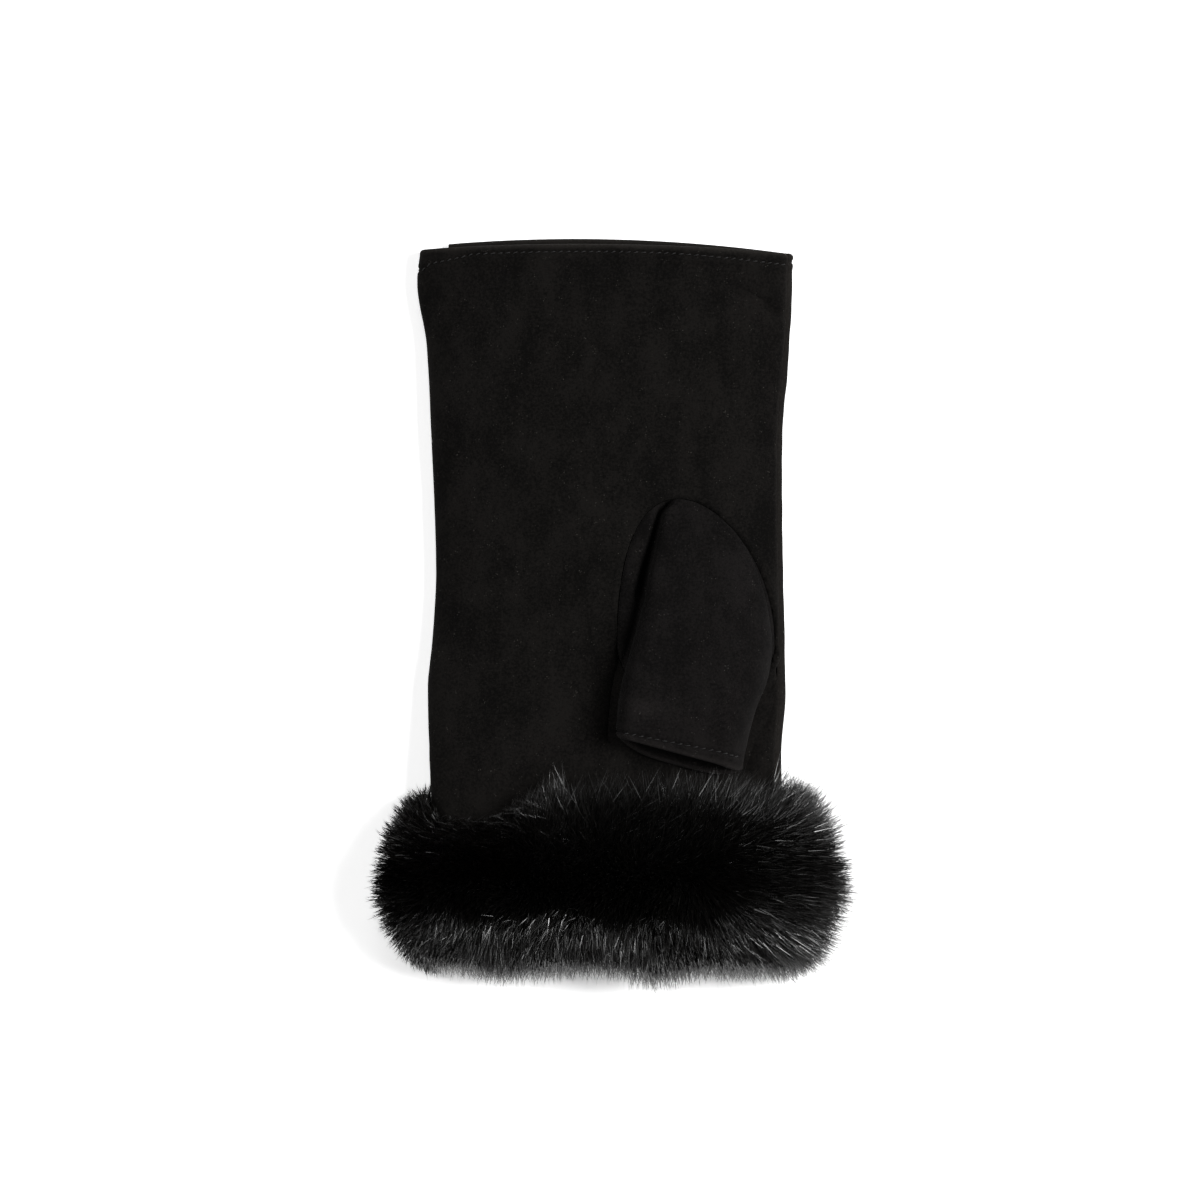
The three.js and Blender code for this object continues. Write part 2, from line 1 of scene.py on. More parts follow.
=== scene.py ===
# %% [markdown]
# # A fingerless suede mitten with a fur cuff
#
# The mitten lies flat with its palm up. It has three pieces of black suede: the palm, which
# wraps round the left fold, the back, and the thumb, which is sewn into an oval hole in the
# palm. A deep band of fur goes round one end and the other end has a turned, stitched hem.
#
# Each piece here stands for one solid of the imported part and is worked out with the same
# sizes. So this lesson starts with the sizes, then makes the leather, the thumb, the stitches
# and the fur, and ends with the finishes, the light and the camera.

import bpy
import numpy as np
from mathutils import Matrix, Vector


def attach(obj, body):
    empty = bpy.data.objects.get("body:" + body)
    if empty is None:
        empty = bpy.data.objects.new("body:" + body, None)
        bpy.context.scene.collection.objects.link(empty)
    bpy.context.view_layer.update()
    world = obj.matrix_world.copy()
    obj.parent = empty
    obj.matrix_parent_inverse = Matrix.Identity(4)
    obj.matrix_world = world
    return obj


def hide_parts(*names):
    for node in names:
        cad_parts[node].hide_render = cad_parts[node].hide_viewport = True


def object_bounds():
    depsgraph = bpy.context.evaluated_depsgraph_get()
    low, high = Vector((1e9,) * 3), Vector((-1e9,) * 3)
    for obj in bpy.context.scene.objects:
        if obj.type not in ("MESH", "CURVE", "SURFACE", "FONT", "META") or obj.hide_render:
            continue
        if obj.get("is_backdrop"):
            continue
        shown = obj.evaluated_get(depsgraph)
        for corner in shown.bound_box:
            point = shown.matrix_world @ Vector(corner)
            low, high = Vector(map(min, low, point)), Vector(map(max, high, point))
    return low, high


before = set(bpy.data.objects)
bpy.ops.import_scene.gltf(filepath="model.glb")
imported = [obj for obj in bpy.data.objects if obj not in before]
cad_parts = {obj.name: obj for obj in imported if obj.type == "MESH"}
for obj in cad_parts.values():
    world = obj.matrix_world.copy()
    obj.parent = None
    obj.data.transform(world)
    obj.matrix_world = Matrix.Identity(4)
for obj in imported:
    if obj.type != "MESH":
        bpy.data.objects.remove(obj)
cad_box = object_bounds()
print("solids to dress:", sorted(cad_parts))

# %% [markdown]
# ## Sizes of the hand
#
# All shapes are worked out in millimetres, as a glove maker would measure them, and become
# metres only when a mesh is made. The hand is a flattened tube. Its section is an arch over
# the palm, a quarter fold at each side and a flat underside, and its width and height change
# a little along its length. A short table of sections holds that, and a smooth curve that
# never overshoots its rows runs through the table.

# %% Sizes that the solids were made from, in millimetres
MM = 0.001
LEATHER = 1.2            # thickness of the suede
SEAM_GAP = 0.3           # clearance between sewn pieces
HAND_WIDTH = 97.5
SIDE_FOLD = 7.0
CROWN = 12.6
ARCH_POWER = 2.4
HEM_Y = 98.3             # the hem's corners
HAND_END_Y = -86.4       # the hand's end under the fur
HAND_LENGTH = HEM_Y - HAND_END_Y
CUFF_LIFT = 5.7
EDGE_SEAM_RISE = 2.2     # side seam above the fold's widest line
UNDER_SEAM = 7.7         # from the left fold to the seam underneath
HEM_TURN, HEM_WALL = 5.0, 2.0
PALM_BOW, BACK_BOW = 2.3, 4.3
BOW_PEAK_X, BOW_SPAN = -8.97, 59.96

#        along   left    right  crown  lift
HAND_SECTIONS = np.array([
    [0.000, -0.495, 0.492, 0.96, 1.00],
    [0.140, -0.497, 0.492, 0.96, 1.00],
    [0.240, -0.505, 0.490, 0.95, 0.64],
    [0.350, -0.508, 0.503, 0.96, 0.13],
    [0.410, -0.499, 0.501, 0.98, 0.00],
    [0.450, -0.493, 0.500, 0.98, 0.00],
    [0.520, -0.487, 0.496, 1.00, 0.00],
    [0.700, -0.498, 0.493, 1.00, 0.00],
    [0.855, -0.513, 0.513, 1.00, 0.00],
    [0.955, -0.541, 0.522, 1.02, 0.00],
    [1.000, -0.532, 0.523, 1.04, 0.00],
])


def column(table, which, at):
    """One column of a table at places between its rows.

    The rows are joined by a monotone cubic: the tangent at a row is the harmonic mean of the
    slopes beside it, and zero where they change sign and at both ends.
    """
    place, value = table[:, 0], table[:, which]
    slope = np.diff(value) / np.diff(place)
    before, after = slope[:-1], slope[1:]
    rising = before * after > 0
    tangent = np.zeros(len(place))
    tangent[1:-1][rising] = 2 * (before * after)[rising] / (before + after)[rising]
    at = np.clip(at, place[0], place[-1])
    i = np.clip(np.searchsorted(place, at) - 1, 0, len(place) - 2)
    width = place[i + 1] - place[i]
    t = (at - place[i]) / width
    smooth = t * t * (3 - 2 * t)
    bend = width * t * (1 - t) * (tangent[i] * (1 - t) - tangent[i + 1] * t)
    return value[i] + (value[i + 1] - value[i]) * smooth + bend


def hand_section(y):
    """Left edge, right edge, height and lift of the hand at places along it."""
    at = (np.asarray(y, float) - HAND_END_Y) / HAND_LENGTH
    left, right, crown, lift = (column(HAND_SECTIONS, c, at) for c in (1, 2, 3, 4))
    return HAND_WIDTH * left, HAND_WIDTH * right, CROWN * crown, CUFF_LIFT * lift


def hand_outline(turn, y, inset=0.0):
    """Points [x, z] of the hand's section, by how far round it they lie.

    Turn 0 to 1 is the arch from the right fold to the left: x = middle + half * cos(angle) to
    the power 2 / 2.4, z = fold + rise * sin(angle). 1 to 2 is the left fold's quarter circle,
    2 to 3 the flat underside and 3 to 4 the right fold. Inset moves the point into the wall.
    """
    turn, y = np.broadcast_arrays(np.asarray(turn, float), y)
    turn = np.where(turn > 4, turn - 4, turn)
    left, right, height, base = hand_section(y)
    fold = SIDE_FOLD / 2
    across = np.cos(turn * np.pi)
    reach = np.sign(across) * np.abs(across) ** (2 / ARCH_POWER)
    arch_x = (left + right) / 2 + ((right - left) / 2 - inset) * reach
    arch_z = base + fold + (height - fold - inset) * np.sin(turn * np.pi)
    quarter = np.where(turn <= 2, 2 - turn, turn - 3) * np.pi / 2
    side = np.where(turn <= 2, -1.0, 1.0)
    centre = np.where(turn <= 2, left + fold, right - fold)
    fold_x = centre + side * (fold - inset) * np.sin(quarter)
    fold_z = base + fold - (fold - inset) * np.cos(quarter)
    flat_x = left + fold + (right - left - SIDE_FOLD) * (turn - 2)
    arch, flat = turn <= 1, (turn > 2) & (turn <= 3)
    x = np.where(arch, arch_x, np.where(flat, flat_x, fold_x))
    z = np.where(arch, arch_z, np.where(flat, base + inset, fold_z))
    return x, z


def palm_height(x, y, inset=0.0):
    """Height of the palm's arch: fold + rise * sqrt(1 - across ** 2.4)."""
    left, right, height, base = hand_section(y)
    half = (right - left) / 2 - inset
    across = np.minimum(np.abs(x - (left + right) / 2) / half, 1.0)
    fold = SIDE_FOLD / 2
    return base + fold + (height - fold - inset) * np.sqrt(1 - across ** ARCH_POWER)


print(f"palm at the middle is {float(palm_height(0.0, 0.0)):.1f} mm high")

# %% [markdown]
# ## From arrays to meshes
#
# Every new piece is a grid of points, or several, computed as whole arrays. Two helpers are
# enough. One joins a grid into quads, going round where the grid closes. The other writes
# points and faces into a mesh, turns millimetres into metres and smooths the shading.

# %% Grid faces and mesh making
def grid_faces(rows, cols, wrap=False):
    """Quads between neighbouring points of a grid; with wrap the last column meets the first."""
    i = np.arange(rows - 1)[:, None]
    j = np.arange(cols if wrap else cols - 1)[None, :]
    k = (j + 1) % cols
    corners = (i * cols + j, i * cols + k, (i + 1) * cols + k, (i + 1) * cols + j)
    return np.stack([c.ravel() for c in corners], axis=1)


def volume_of(points, faces):
    """Volume inside faces: the sum of a . (b x c) / 6 over the triangles of each fan."""
    total = 0.0
    for k in range(1, faces.shape[1] - 1):
        a, b, c = points[faces[:, 0]], points[faces[:, k]], points[faces[:, k + 1]]
        total += np.einsum("ij,ij->i", a, np.cross(b, c)).sum() / 6
    return total


def outward(points, *face_sets):
    """Sets of faces that close a solid, turned over if they enclose a negative volume."""
    turned = sum(volume_of(points, f) for f in face_sets) < 0
    return [f[:, ::-1] if turned else f for f in face_sets]


def unit(vectors):
    """Vectors along the last axis, each made 1 long."""
    return vectors / np.maximum(np.linalg.norm(vectors, axis=-1, keepdims=True), 1e-9)


def length_along(line):
    """How far along a line of points each of them lies."""
    return np.concatenate([[0], np.cumsum(np.linalg.norm(np.diff(line, axis=0), axis=1))])


def add_object(name, data):
    """A new object in the scene."""
    made = bpy.data.objects.new(name, data)
    bpy.context.scene.collection.objects.link(made)
    return made


def make_piece(name, points, face_sets, sharp=None):
    """A mesh object from points in millimetres and lists of triangles or quads."""
    sizes = [np.full(len(f), f.shape[1]) for f in face_sets]
    loops = np.concatenate([f.ravel() for f in face_sets]).astype(np.int32)
    totals = np.concatenate(sizes).astype(np.int32)
    mesh = bpy.data.meshes.new(name)
    mesh.vertices.add(len(points))
    mesh.vertices.foreach_set("co", (points * MM).astype(np.float32).ravel())
    mesh.loops.add(len(loops))
    mesh.loops.foreach_set("vertex_index", loops)
    mesh.polygons.add(len(totals))
    starts = np.concatenate([[0], np.cumsum(totals)[:-1]]).astype(np.int32)
    mesh.polygons.foreach_set("loop_start", starts)
    mesh.polygons.foreach_set("loop_total", totals)
    mesh.polygons.foreach_set("use_smooth", np.ones(len(totals), bool))
    mesh.update(calc_edges=True)
    if sharp is not None:
        mesh.set_sharp_from_angle(angle=np.radians(sharp))
    print(f"{name}: {(totals - 2).sum()} triangles")
    return add_object(name, mesh)


def paint(piece, label, values):
    """Stores one number for each point of a piece, for its material to read."""
    attribute = piece.data.attributes.new(label, "FLOAT", "POINT")
    attribute.data.foreach_set("value", np.asarray(values, np.float32).ravel())


# %% [markdown]
# ## A wall of leather
#
# A panel is cut from suede 1.2 mm thick, so it is two skins with a rim between them. Both
# skins are grids over the same places, and a cell can be left out of both, which is how the
# palm gets the oval hole for its thumb. Wherever a kept cell has no neighbour, a strip of
# rim joins the two skins, so the wall is closed all the way round.

# %% Joining two skins into a closed wall
def wall(outer, inner, keep):
    """A closed wall from two grids and a mask of the cells to keep.

    It returns points and faces, and which of the grids' points they are.
    """
    rows, cols = keep.shape[0] + 1, keep.shape[1] + 1
    quads = grid_faces(rows, cols)[keep.ravel()]
    count = rows * cols
    starts, ends = quads.ravel(), np.roll(quads, -1, axis=1).ravel()
    forward, backward = starts * count + ends, ends * count + starts
    free = ~np.isin(forward, backward)
    a, b = starts[free], ends[free]
    rim = np.stack([b, a, a + count, b + count], axis=1)
    points = np.concatenate([outer.reshape(-1, 3), inner.reshape(-1, 3)])
    faces = np.concatenate([quads, quads[:, ::-1] + count, rim])
    used, compact = np.unique(faces, return_inverse=True)
    points, faces = points[used], compact.reshape(faces.shape)
    return points, outward(points, faces), used


def normals_of(grid):
    """Unit normals of a grid of points, from the cross product of its two directions."""
    return unit(np.cross(np.gradient(grid, axis=0), np.gradient(grid, axis=1)))


# %% [markdown]
# ## Relief of worn suede
#
# Leather is never a perfect surface. It has slow waves where it was flattened, soft dents
# where it was folded in a drawer, and a groove wherever a seam pulls it in. Each of these is
# a height to add along the normal: waves are a few sines in random directions, a dent is a
# long bell shape, and a groove falls off with the distance from a line.

# %% Waves, dents and grooves
rng = np.random.default_rng(27)


def waves(x, y, shortest, longest, count):
    """Sum of sines in random directions, with wavelengths between two lengths; about -1 to 1."""
    length = np.exp(rng.uniform(np.log(shortest), np.log(longest), count))
    heading, phase = rng.uniform(0, 2 * np.pi, (2, count))
    total = np.zeros(np.shape(x))
    for l, h, p in zip(length, heading, phase):
        total += np.sin(2 * np.pi * (x * np.cos(h) + y * np.sin(h)) / l + p)
    return total / np.sqrt(count)


def dent(x, y, centre, degrees, length, width, depth):
    """A long bell: -depth * exp(-(u / length)^2 - (v / width)^2) in its own turned axes."""
    turn = np.radians(degrees)
    dx, dy = x - centre[0], y - centre[1]
    u = dx * np.cos(turn) + dy * np.sin(turn)
    v = -dx * np.sin(turn) + dy * np.cos(turn)
    return -depth * np.exp(-(u / length) ** 2 - (v / width) ** 2)


def line_distance(x, y, line):
    """Distance from each point to the nearest of a line's straight pieces."""
    nearest = np.full(np.shape(x), np.inf)
    for (ax, ay), (bx, by) in zip(line[:-1], line[1:]):
        dx, dy = bx - ax, by - ay
        t = np.clip(((x - ax) * dx + (y - ay) * dy) / (dx * dx + dy * dy), 0, 1)
        nearest = np.minimum(nearest, np.hypot(x - ax - t * dx, y - ay - t * dy))
    return nearest


def bell(distance, width):
    return np.exp(-(distance / width) ** 2)


def groove(distance, width, depth, swell=0.35):
    """A seam's relief: a sharp fall at the line and a soft swell on both sides of it."""
    plump = bell(distance - 2.6 * width, 1.6 * width)
    return depth * (swell * plump - bell(distance, width))


# %% [markdown]
# ## The oval seam of the thumb
#
# The thumb is set into the palm in a long oval, pointed towards the hem and round at the
# crotch. The same formula cuts the hole, fills it with the thumb's root and places the
# groove between them. `oval_size` is 1 on the seam, less inside and more outside.

# %% The thumb's oval
SEAM_WIDTH, SEAM_RISE, SEAM_DROP, SEAM_TIP_LEAN = 43.4, 40.0, 17.0, 5.0
ORIGIN_TO_THUMB = 30.5
SEAM_WIDE_Y = ORIGIN_TO_THUMB - SEAM_RISE
SEAM_CENTRE_X = float(hand_section(SEAM_WIDE_Y)[1]) - 2.9 - SEAM_WIDTH / 2
SEAM_LEFT_X = SEAM_CENTRE_X - SEAM_WIDTH / 2


def oval(angle, inset=0.0):
    """Points of the seam: half the width times cos, and the rise or drop times sin.

    The upper half leans to the left by 5 mm times sin squared.
    """
    lift = np.sin(angle)
    lean = np.where(lift > 0, SEAM_TIP_LEAN * lift ** 2, 0.0)
    reach = np.where(lift > 0, SEAM_RISE, SEAM_DROP) - inset
    x = SEAM_CENTRE_X - lean + (SEAM_WIDTH / 2 - inset) * np.cos(angle)
    return x, SEAM_WIDE_Y + reach * lift


def oval_size(x, y, inset=0.0):
    """How far out a point lies, as a share of the way to the seam."""
    reach = np.where(y > SEAM_WIDE_Y, SEAM_RISE, SEAM_DROP) - inset
    lift = (y - SEAM_WIDE_Y) / reach
    lean = np.where(lift > 0, SEAM_TIP_LEAN * np.minimum(lift, 1) ** 2, 0.0)
    return np.hypot((x - SEAM_CENTRE_X + lean) / (SEAM_WIDTH / 2 - inset), lift)


HOLE_GAP = 0.1           # the hole in the palm stands clear of the seam
SEAM_LINE = np.stack(oval(np.linspace(0, 2 * np.pi, 73)), axis=1)
print(f"oval centre at x {SEAM_CENTRE_X:.1f}, y {SEAM_WIDE_Y:.1f} mm")

# %% Sizes of the thumb
THUMB_LENGTH, THUMB_HEIGHT = 71.1, 10.0
LEAN_SLOPE = -0.2698     # the thumb turns 15.1 degrees towards the hand's middle
LIP = 3.5                # the lower lip stands past the upper one
THUMB_TOE = 0.12         # share of the width over which the top rises from the left fold
FOLD_HEIGHT = 0.4        # share of the height at which the left fold is widest
UNDERCUT = 2.6           # how far the floor starts inside the left fold
ROOM_START = 0.16        # where the room in the sleeve begins
SHELF = 0.5              # the root stands proud of the palm

#        along  left   right  rise  heel
THUMB_SECTIONS = np.array([
    [0.03, 0.360, 0.600, 0.10, 0.60],
    [0.08, 0.304, 0.735, 0.19, 0.70],
    [0.20, 0.252, 0.875, 0.38, 0.70],
    [0.35, 0.194, 0.955, 0.56, 0.60],
    [0.50, 0.150, 0.985, 0.72, 0.45],
    [0.62, 0.100, 0.955, 0.83, 0.30],
    [0.75, 0.042, 0.880, 0.92, 0.24],
    [0.88, 0.007, 0.827, 0.97, 0.22],
    [1.00, -0.009, 0.795, 1.00, 0.22],
])
THUMB_COLS, FLOOR_COLS, FOLD_COLS = 132, 30, 8   # points of a loop, on its floor and left fold


def sleeve_edge(which, start=0.03, end=1.0):
    """The sleeve's left (1) or right (2) edge as a line of points [x, y]."""
    share = np.linspace(start, end, 30)
    x = SEAM_LEFT_X + SEAM_WIDTH * column(THUMB_SECTIONS, which, share)
    y = ORIGIN_TO_THUMB - share * THUMB_LENGTH + LEAN_SLOPE * (x - SEAM_CENTRE_X)
    return np.stack([x, y], axis=1)


# %% [markdown]
# ## Palm and back
#
# The palm runs from the side seam at the right, over the arch, round the left fold and a
# little way underneath. The back covers the rest. A place on either is a share along the
# hand and a share across the panel, spread evenly by length. At the hem the leather is
# turned in, so the wall thickens from 1.2 to 2 mm, its edge is rolled, and a stitched line
# pulls it in 2.3 mm from the edge.

# %% Panel grids
HEM_ROLL = HEM_WALL / 2
ROLL_TURN = 1.35         # radians that the hem's edge is rolled in
FINE_ROWS_FROM = 7.0     # closer rows from here to the hem
STITCH_INSET = 2.3
MIDDLE_Y = 20.0          # where shares across a panel are measured

#        x      from the edge
PALM_STITCHES = np.array([
    [-51.2, 5.6],
    [-49.2, 4.3],
    [-45.9, 3.8],
    [-41.8, 3.2],
    [-36.3, 2.3],
    [14.6, 2.2],
    [34.6, 2.8],
    [49.0, 3.3],
])
EDGE_TURN_LENGTH = 42.0  # millimetres round the section for one turn, at the side seam


def even_shares(start, end, count):
    """Shares between two turns, spaced evenly by length along the section."""
    dense = np.linspace(start, end, 2000)
    length = length_along(np.stack(hand_outline(dense, MIDDLE_Y), axis=1))
    return np.interp(np.linspace(0, length[-1], count), length, np.linspace(0, 1, 2000))


def edge_seam_turn(y, shift):
    """Turn of the side seam, where the arch has risen by 2.2 mm."""
    height = hand_section(y)[2]
    return np.arcsin((EDGE_SEAM_RISE + shift) / (height - SIDE_FOLD / 2)) / np.pi


def under_seam_turn(y, shift):
    """Turn of the seam underneath, 7.7 mm from the left fold."""
    left, right = hand_section(y)[:2]
    return 2 + (UNDER_SEAM + shift - SIDE_FOLD / 2) / (right - left - SIDE_FOLD)


def hem_edge(x, bow):
    """How far the hem reaches: it bows outwards as a parabola about its peak."""
    return HEM_Y + bow * (1 - ((x - BOW_PEAK_X) / BOW_SPAN) ** 2)


def stitch_inset(x, bow):
    """Distance of the stitched line from the hem's edge; on the palm it changes along it."""
    return column(PALM_STITCHES, 1, x) if bow == PALM_BOW else np.full(np.shape(x), STITCH_INSET)


def panel(name, start, end, cols, bow, relief, hole=False, corner=False):
    """A panel between two turns: outer skin with its relief, inner skin, and the hem's roll."""
    fine, last = 1 - FINE_ROWS_FROM / HAND_LENGTH, 1 - HEM_ROLL / HAND_LENGTH
    share = np.concatenate([
        np.linspace(0, fine, 216), np.linspace(fine, last, 18)[1:], np.full(4, last)])
    roll = np.zeros(len(share))
    roll[-4:] = np.linspace(0, ROLL_TURN, 5)[1:]
    roll_in = HEM_ROLL * (1 - np.cos(roll))[:, None]
    y0 = HAND_END_Y + share * HAND_LENGTH
    across = even_shares(float(start(MIDDLE_Y)), float(end(MIDDLE_Y)), cols)
    turn = start(y0)[:, None] + (end(y0) - start(y0))[:, None] * across[None, :]
    edge_x = hand_outline(turn, y0[:, None])[0]
    if corner:
        edge_x = np.where(turn > 1, float(hand_section(HEM_Y)[0]), edge_x)
    reach = hem_edge(edge_x, bow)
    y = HAND_END_Y + share[:, None] * (reach - HAND_END_Y) + HEM_ROLL * np.sin(roll)[:, None]
    from_hem = np.maximum(reach - y, 0.0)
    thick = LEATHER + (HEM_WALL - LEATHER) * np.clip((HEM_TURN + 0.6 - from_hem) / 0.6, 0, 1)

    def skin(inset):
        x, z = hand_outline(turn, y0[:, None], inset)
        return np.stack([x, y, z], axis=2)

    outer, inner = skin(roll_in), skin(thick - roll_in)
    x, z = outer[..., 0], outer[..., 2]
    height, wear_and_highlight = relief(x, y, z, turn, from_hem)
    outer = outer + normals_of(outer) * height[..., None]
    keep = np.ones((len(share) - 1, cols - 1), bool)
    if hole:
        middle_x = (x[1:, 1:] + x[:-1, :-1]) / 2
        middle_y = (y[1:, 1:] + y[:-1, :-1]) / 2
        keep = oval_size(middle_x, middle_y, -HOLE_GAP) >= 1
        outer, inner = snap_to_oval(outer, inner, keep, turn)
    points, faces, used = wall(outer, inner, keep)
    piece = make_piece(name, points, faces, sharp=60)
    # Each point's lightening: rub at the hem, and painted highlight by the side seam
    paint(piece, "wear_and_highlight", np.tile(wear_and_highlight.ravel(), 2)[used])
    return piece


def snap_to_oval(outer, inner, keep, turn):
    """Moves the grid points on the edge of the hole sideways on to the oval itself."""
    dropped = np.zeros(turn.shape, bool)
    kept = np.zeros(turn.shape, bool)
    for i in (0, 1):
        for j in (0, 1):
            block = (slice(i, i + keep.shape[0]), slice(j, j + keep.shape[1]))
            dropped[block] |= ~keep
            kept[block] |= keep
    edge = dropped & kept
    x, y = outer[..., 0][edge], outer[..., 1][edge]
    new_x, new_y = x.copy(), y.copy()
    for _ in range(4):
        size = oval_size(new_x, new_y, -HOLE_GAP)
        lift = np.clip((new_y - SEAM_WIDE_Y) / SEAM_RISE, 0, 1)
        centre_x = SEAM_CENTRE_X - SEAM_TIP_LEAN * lift ** 2
        new_x = centre_x + (new_x - centre_x) / size
        new_y = SEAM_WIDE_Y + (new_y - SEAM_WIDE_Y) / size
    for grid, inset in ((outer, 0.0), (inner, LEATHER)):
        moved = grid[edge]
        moved[:, 2] += palm_height(new_x, new_y, inset) - palm_height(x, y, inset)
        moved[:, 0], moved[:, 1] = new_x, new_y
        grid[edge] = moved
    return outer, inner


# %% Relief of the palm
#   edge  from   beside  width  depth
VALLEYS = [
    (1, 0.66, 0.6, 2.5, 1.3),
    (1, 0.64, 0.2, 1.5, 2.3),
    (2, 0.60, -0.5, 1.4, 0.9),
]
#    centre          degrees  length  width  depth
PALM_DENTS = [
    ((38.5, 86.5), -28, 9.0, 1.3, 2.20),
    ((31.0, 89.5), -24, 9.0, 1.8, 0.60),
    ((-46.0, 89.5), 33, 4.5, 1.1, 0.45),
    ((43.5, -28.5), 68, 10.0, 2.3, 1.15),
    ((47.7, -16.2), 54, 4.5, 1.1, 1.40),
    ((46.2, -13.9), 54, 4.5, 1.1, -1.00),
    ((-20.0, 60.0), 64, 26.0, 7.0, 0.28),
    ((8.0, 74.0), 20, 20.0, 8.0, 0.22),
    ((-36.0, 8.0), 82, 24.0, 5.0, 0.30),
    ((-16.0, -42.0), -35, 16.0, 6.0, 0.35),
    ((-30.0, -30.0), 15, 10.0, 4.0, -0.30),
]


def palm_relief(x, y, z, turn, from_hem):
    """Height, and lightening (rub at the hem's edge, painted highlight along the side seam):
    waves, the grooves of hem and thumb, folds, dents and the side seam.
    """
    up = np.clip((z - 3.0) / 3.0, 0, 1)
    calm = np.clip((from_hem - 3.5) / 12, 0, 1)
    height = up * calm * (0.22 * waves(x, y, 22, 70, 7) + 0.05 * waves(x, y, 6, 14, 12))
    height += groove(np.abs(from_hem - stitch_inset(x, PALM_BOW)), 0.45, 0.38, 0.45 * up)
    step = np.clip((from_hem - HEM_TURN + 0.5) / 1.2, 0, 1)
    height -= 0.16 * step * np.clip((12 - from_hem) / 7, 0, 1)
    height += up * groove(line_distance(x, y, SEAM_LINE), 0.5, 0.42, 0.5)
    seam = (turn - edge_seam_turn(y, SEAM_GAP / 2)) * EDGE_TURN_LENGTH
    height -= 0.25 * np.exp(-np.maximum(seam, 0) / 0.4)
    for edge, start, beside, width, depth in VALLEYS:
        height -= up * depth * bell(line_distance(x + beside, y, sleeve_edge(edge, start)), width)
    for shape in PALM_DENTS:
        height += up * calm * dent(x, y, *shape)
    # Lighter at the hem's edge; along the side seam a painted highlight, where light grazes the
    # fold
    wear_and_highlight = bell(from_hem - 0.3, 0.8) + 0.5 * up * bell(seam, 0.6)
    return height, np.minimum(wear_and_highlight, 1)


palm = panel(
    "palm_suede",
    lambda y: edge_seam_turn(y, SEAM_GAP / 2),
    lambda y: under_seam_turn(y, -SEAM_GAP / 2),
    172, PALM_BOW, palm_relief, hole=True, corner=True,
)


# %% Relief of the back
def back_relief(x, y, z, turn, from_hem):
    """Height, and lightening (rub at the hem's edge, painted highlight along the side seam): the
    hem's groove and the side seam; the underside stays flat.
    """
    up = np.clip((z - 1.5) / 2.0, 0, 1)
    height = up * 0.06 * waves(x, y, 8, 26, 9)
    height += groove(np.abs(from_hem - STITCH_INSET), 0.45, 0.38, 0.45 * up)
    seam = (4 + edge_seam_turn(y, -SEAM_GAP / 2) - turn) * EDGE_TURN_LENGTH
    height -= 0.25 * up * np.exp(-np.maximum(seam, 0) / 0.4)
    # Lighter at the hem's edge; on the strip along the side seam a painted highlight, where the
    # right-hand lamp grazes it
    wear_and_highlight = bell(from_hem, 1.4) + 0.8 * bell(seam, 1.6)
    return height, np.minimum(wear_and_highlight, 1)


back = panel(
    "back_suede",
    lambda y: under_seam_turn(y, SEAM_GAP / 2),
    lambda y: 4 + edge_seam_turn(y, -SEAM_GAP / 2),
    92, BACK_BOW, back_relief,
)

# %% [markdown]
# ## The thumb
#
# The thumb is one piece of suede: an oval root that fills the hole, and a sleeve that rises
# from it and lies flattened on the palm, pointing to the fur. The sleeve is a tube whose loop
# changes along it. A loop runs along the sleeve's floor, round the left fold, which overhangs
# and makes the dark crease, and back over the top, which comes down softly to the right.
# The outer loops go to the rim, roll over it and come back inside as the inner skin, so the
# sleeve is a single closed surface with a real room in it. A Boolean joins it to the root and
# another cuts the way from the hand into it.

# %% Loops along the thumb
def shoulder(t, span):
    """Rise of a rounded edge from 0 at its foot to 1 after a span: a quarter circle."""
    return np.sqrt(np.maximum(1 - (1 - np.clip(t / span, 0, 1)) ** 2, 0))


def thumb_loops(share, inset, past, sink=0.0, full=1.0):
    """A grid of loops along the thumb, one row for each share, with each point's t and lift.

    A loop's floor goes from left to right, its top comes back and the left fold closes it.
    Here t is the share across and lift the share of the loop's height over the palm.
    """
    share, inset, past = (
        np.atleast_1d(np.asarray(v, float))[:, None] for v in (share, inset, past))
    left, right, rise, heel = (column(THUMB_SECTIONS, c, share) for c in (1, 2, 3, 4))
    left = SEAM_LEFT_X + SEAM_WIDTH * left + inset
    right = SEAM_LEFT_X + SEAM_WIDTH * right - inset
    height = np.maximum(THUMB_HEIGHT * rise - 2 * inset, SEAM_GAP)
    eased = lambda count: (1 - np.cos(np.linspace(0, np.pi, count))) / 2
    under = np.clip(UNDERCUT * np.minimum(3 * share, 1) / (right - left), 0, 0.5)
    floor_t = under + (1 - under) * eased(FLOOR_COLS)[None, :]
    quarter = np.linspace(0, np.pi / 2, FOLD_COLS + 2)[1:-1][::-1]
    fold_t = under * (1 - np.sin(quarter))[None, :]
    fold_lift = np.broadcast_to(FOLD_HEIGHT * (1 - np.cos(quarter)), fold_t.shape)
    top = eased(THUMB_COLS - FLOOR_COLS - FOLD_COLS + 1)[:-1][::-1]
    top_t = np.broadcast_to(top, (len(share), len(top)))
    top_lift = FOLD_HEIGHT + (1 - FOLD_HEIGHT) * shoulder(top_t, THUMB_TOE)
    top_lift = top_lift * shoulder(1 - top_t, heel)
    t = np.concatenate([floor_t, top_t, fold_t], axis=1)
    lift = np.concatenate([0 * floor_t, top_lift, fold_lift], axis=1)
    x = left + (right - left) * t
    lip = LIP * np.maximum(2 * share - 1, 0) * (1 - (2 * t - 1) ** 4) * (1 - lift)
    y = ORIGIN_TO_THUMB - share * THUMB_LENGTH - past + LEAN_SLOPE * (x - SEAM_CENTRE_X) - lip
    low = sink * (np.arange(THUMB_COLS) < FLOOR_COLS)
    z = palm_height(x, y) + SEAM_GAP + inset + lift * height * full - low
    return np.stack([x, y, z], axis=2), t, lift


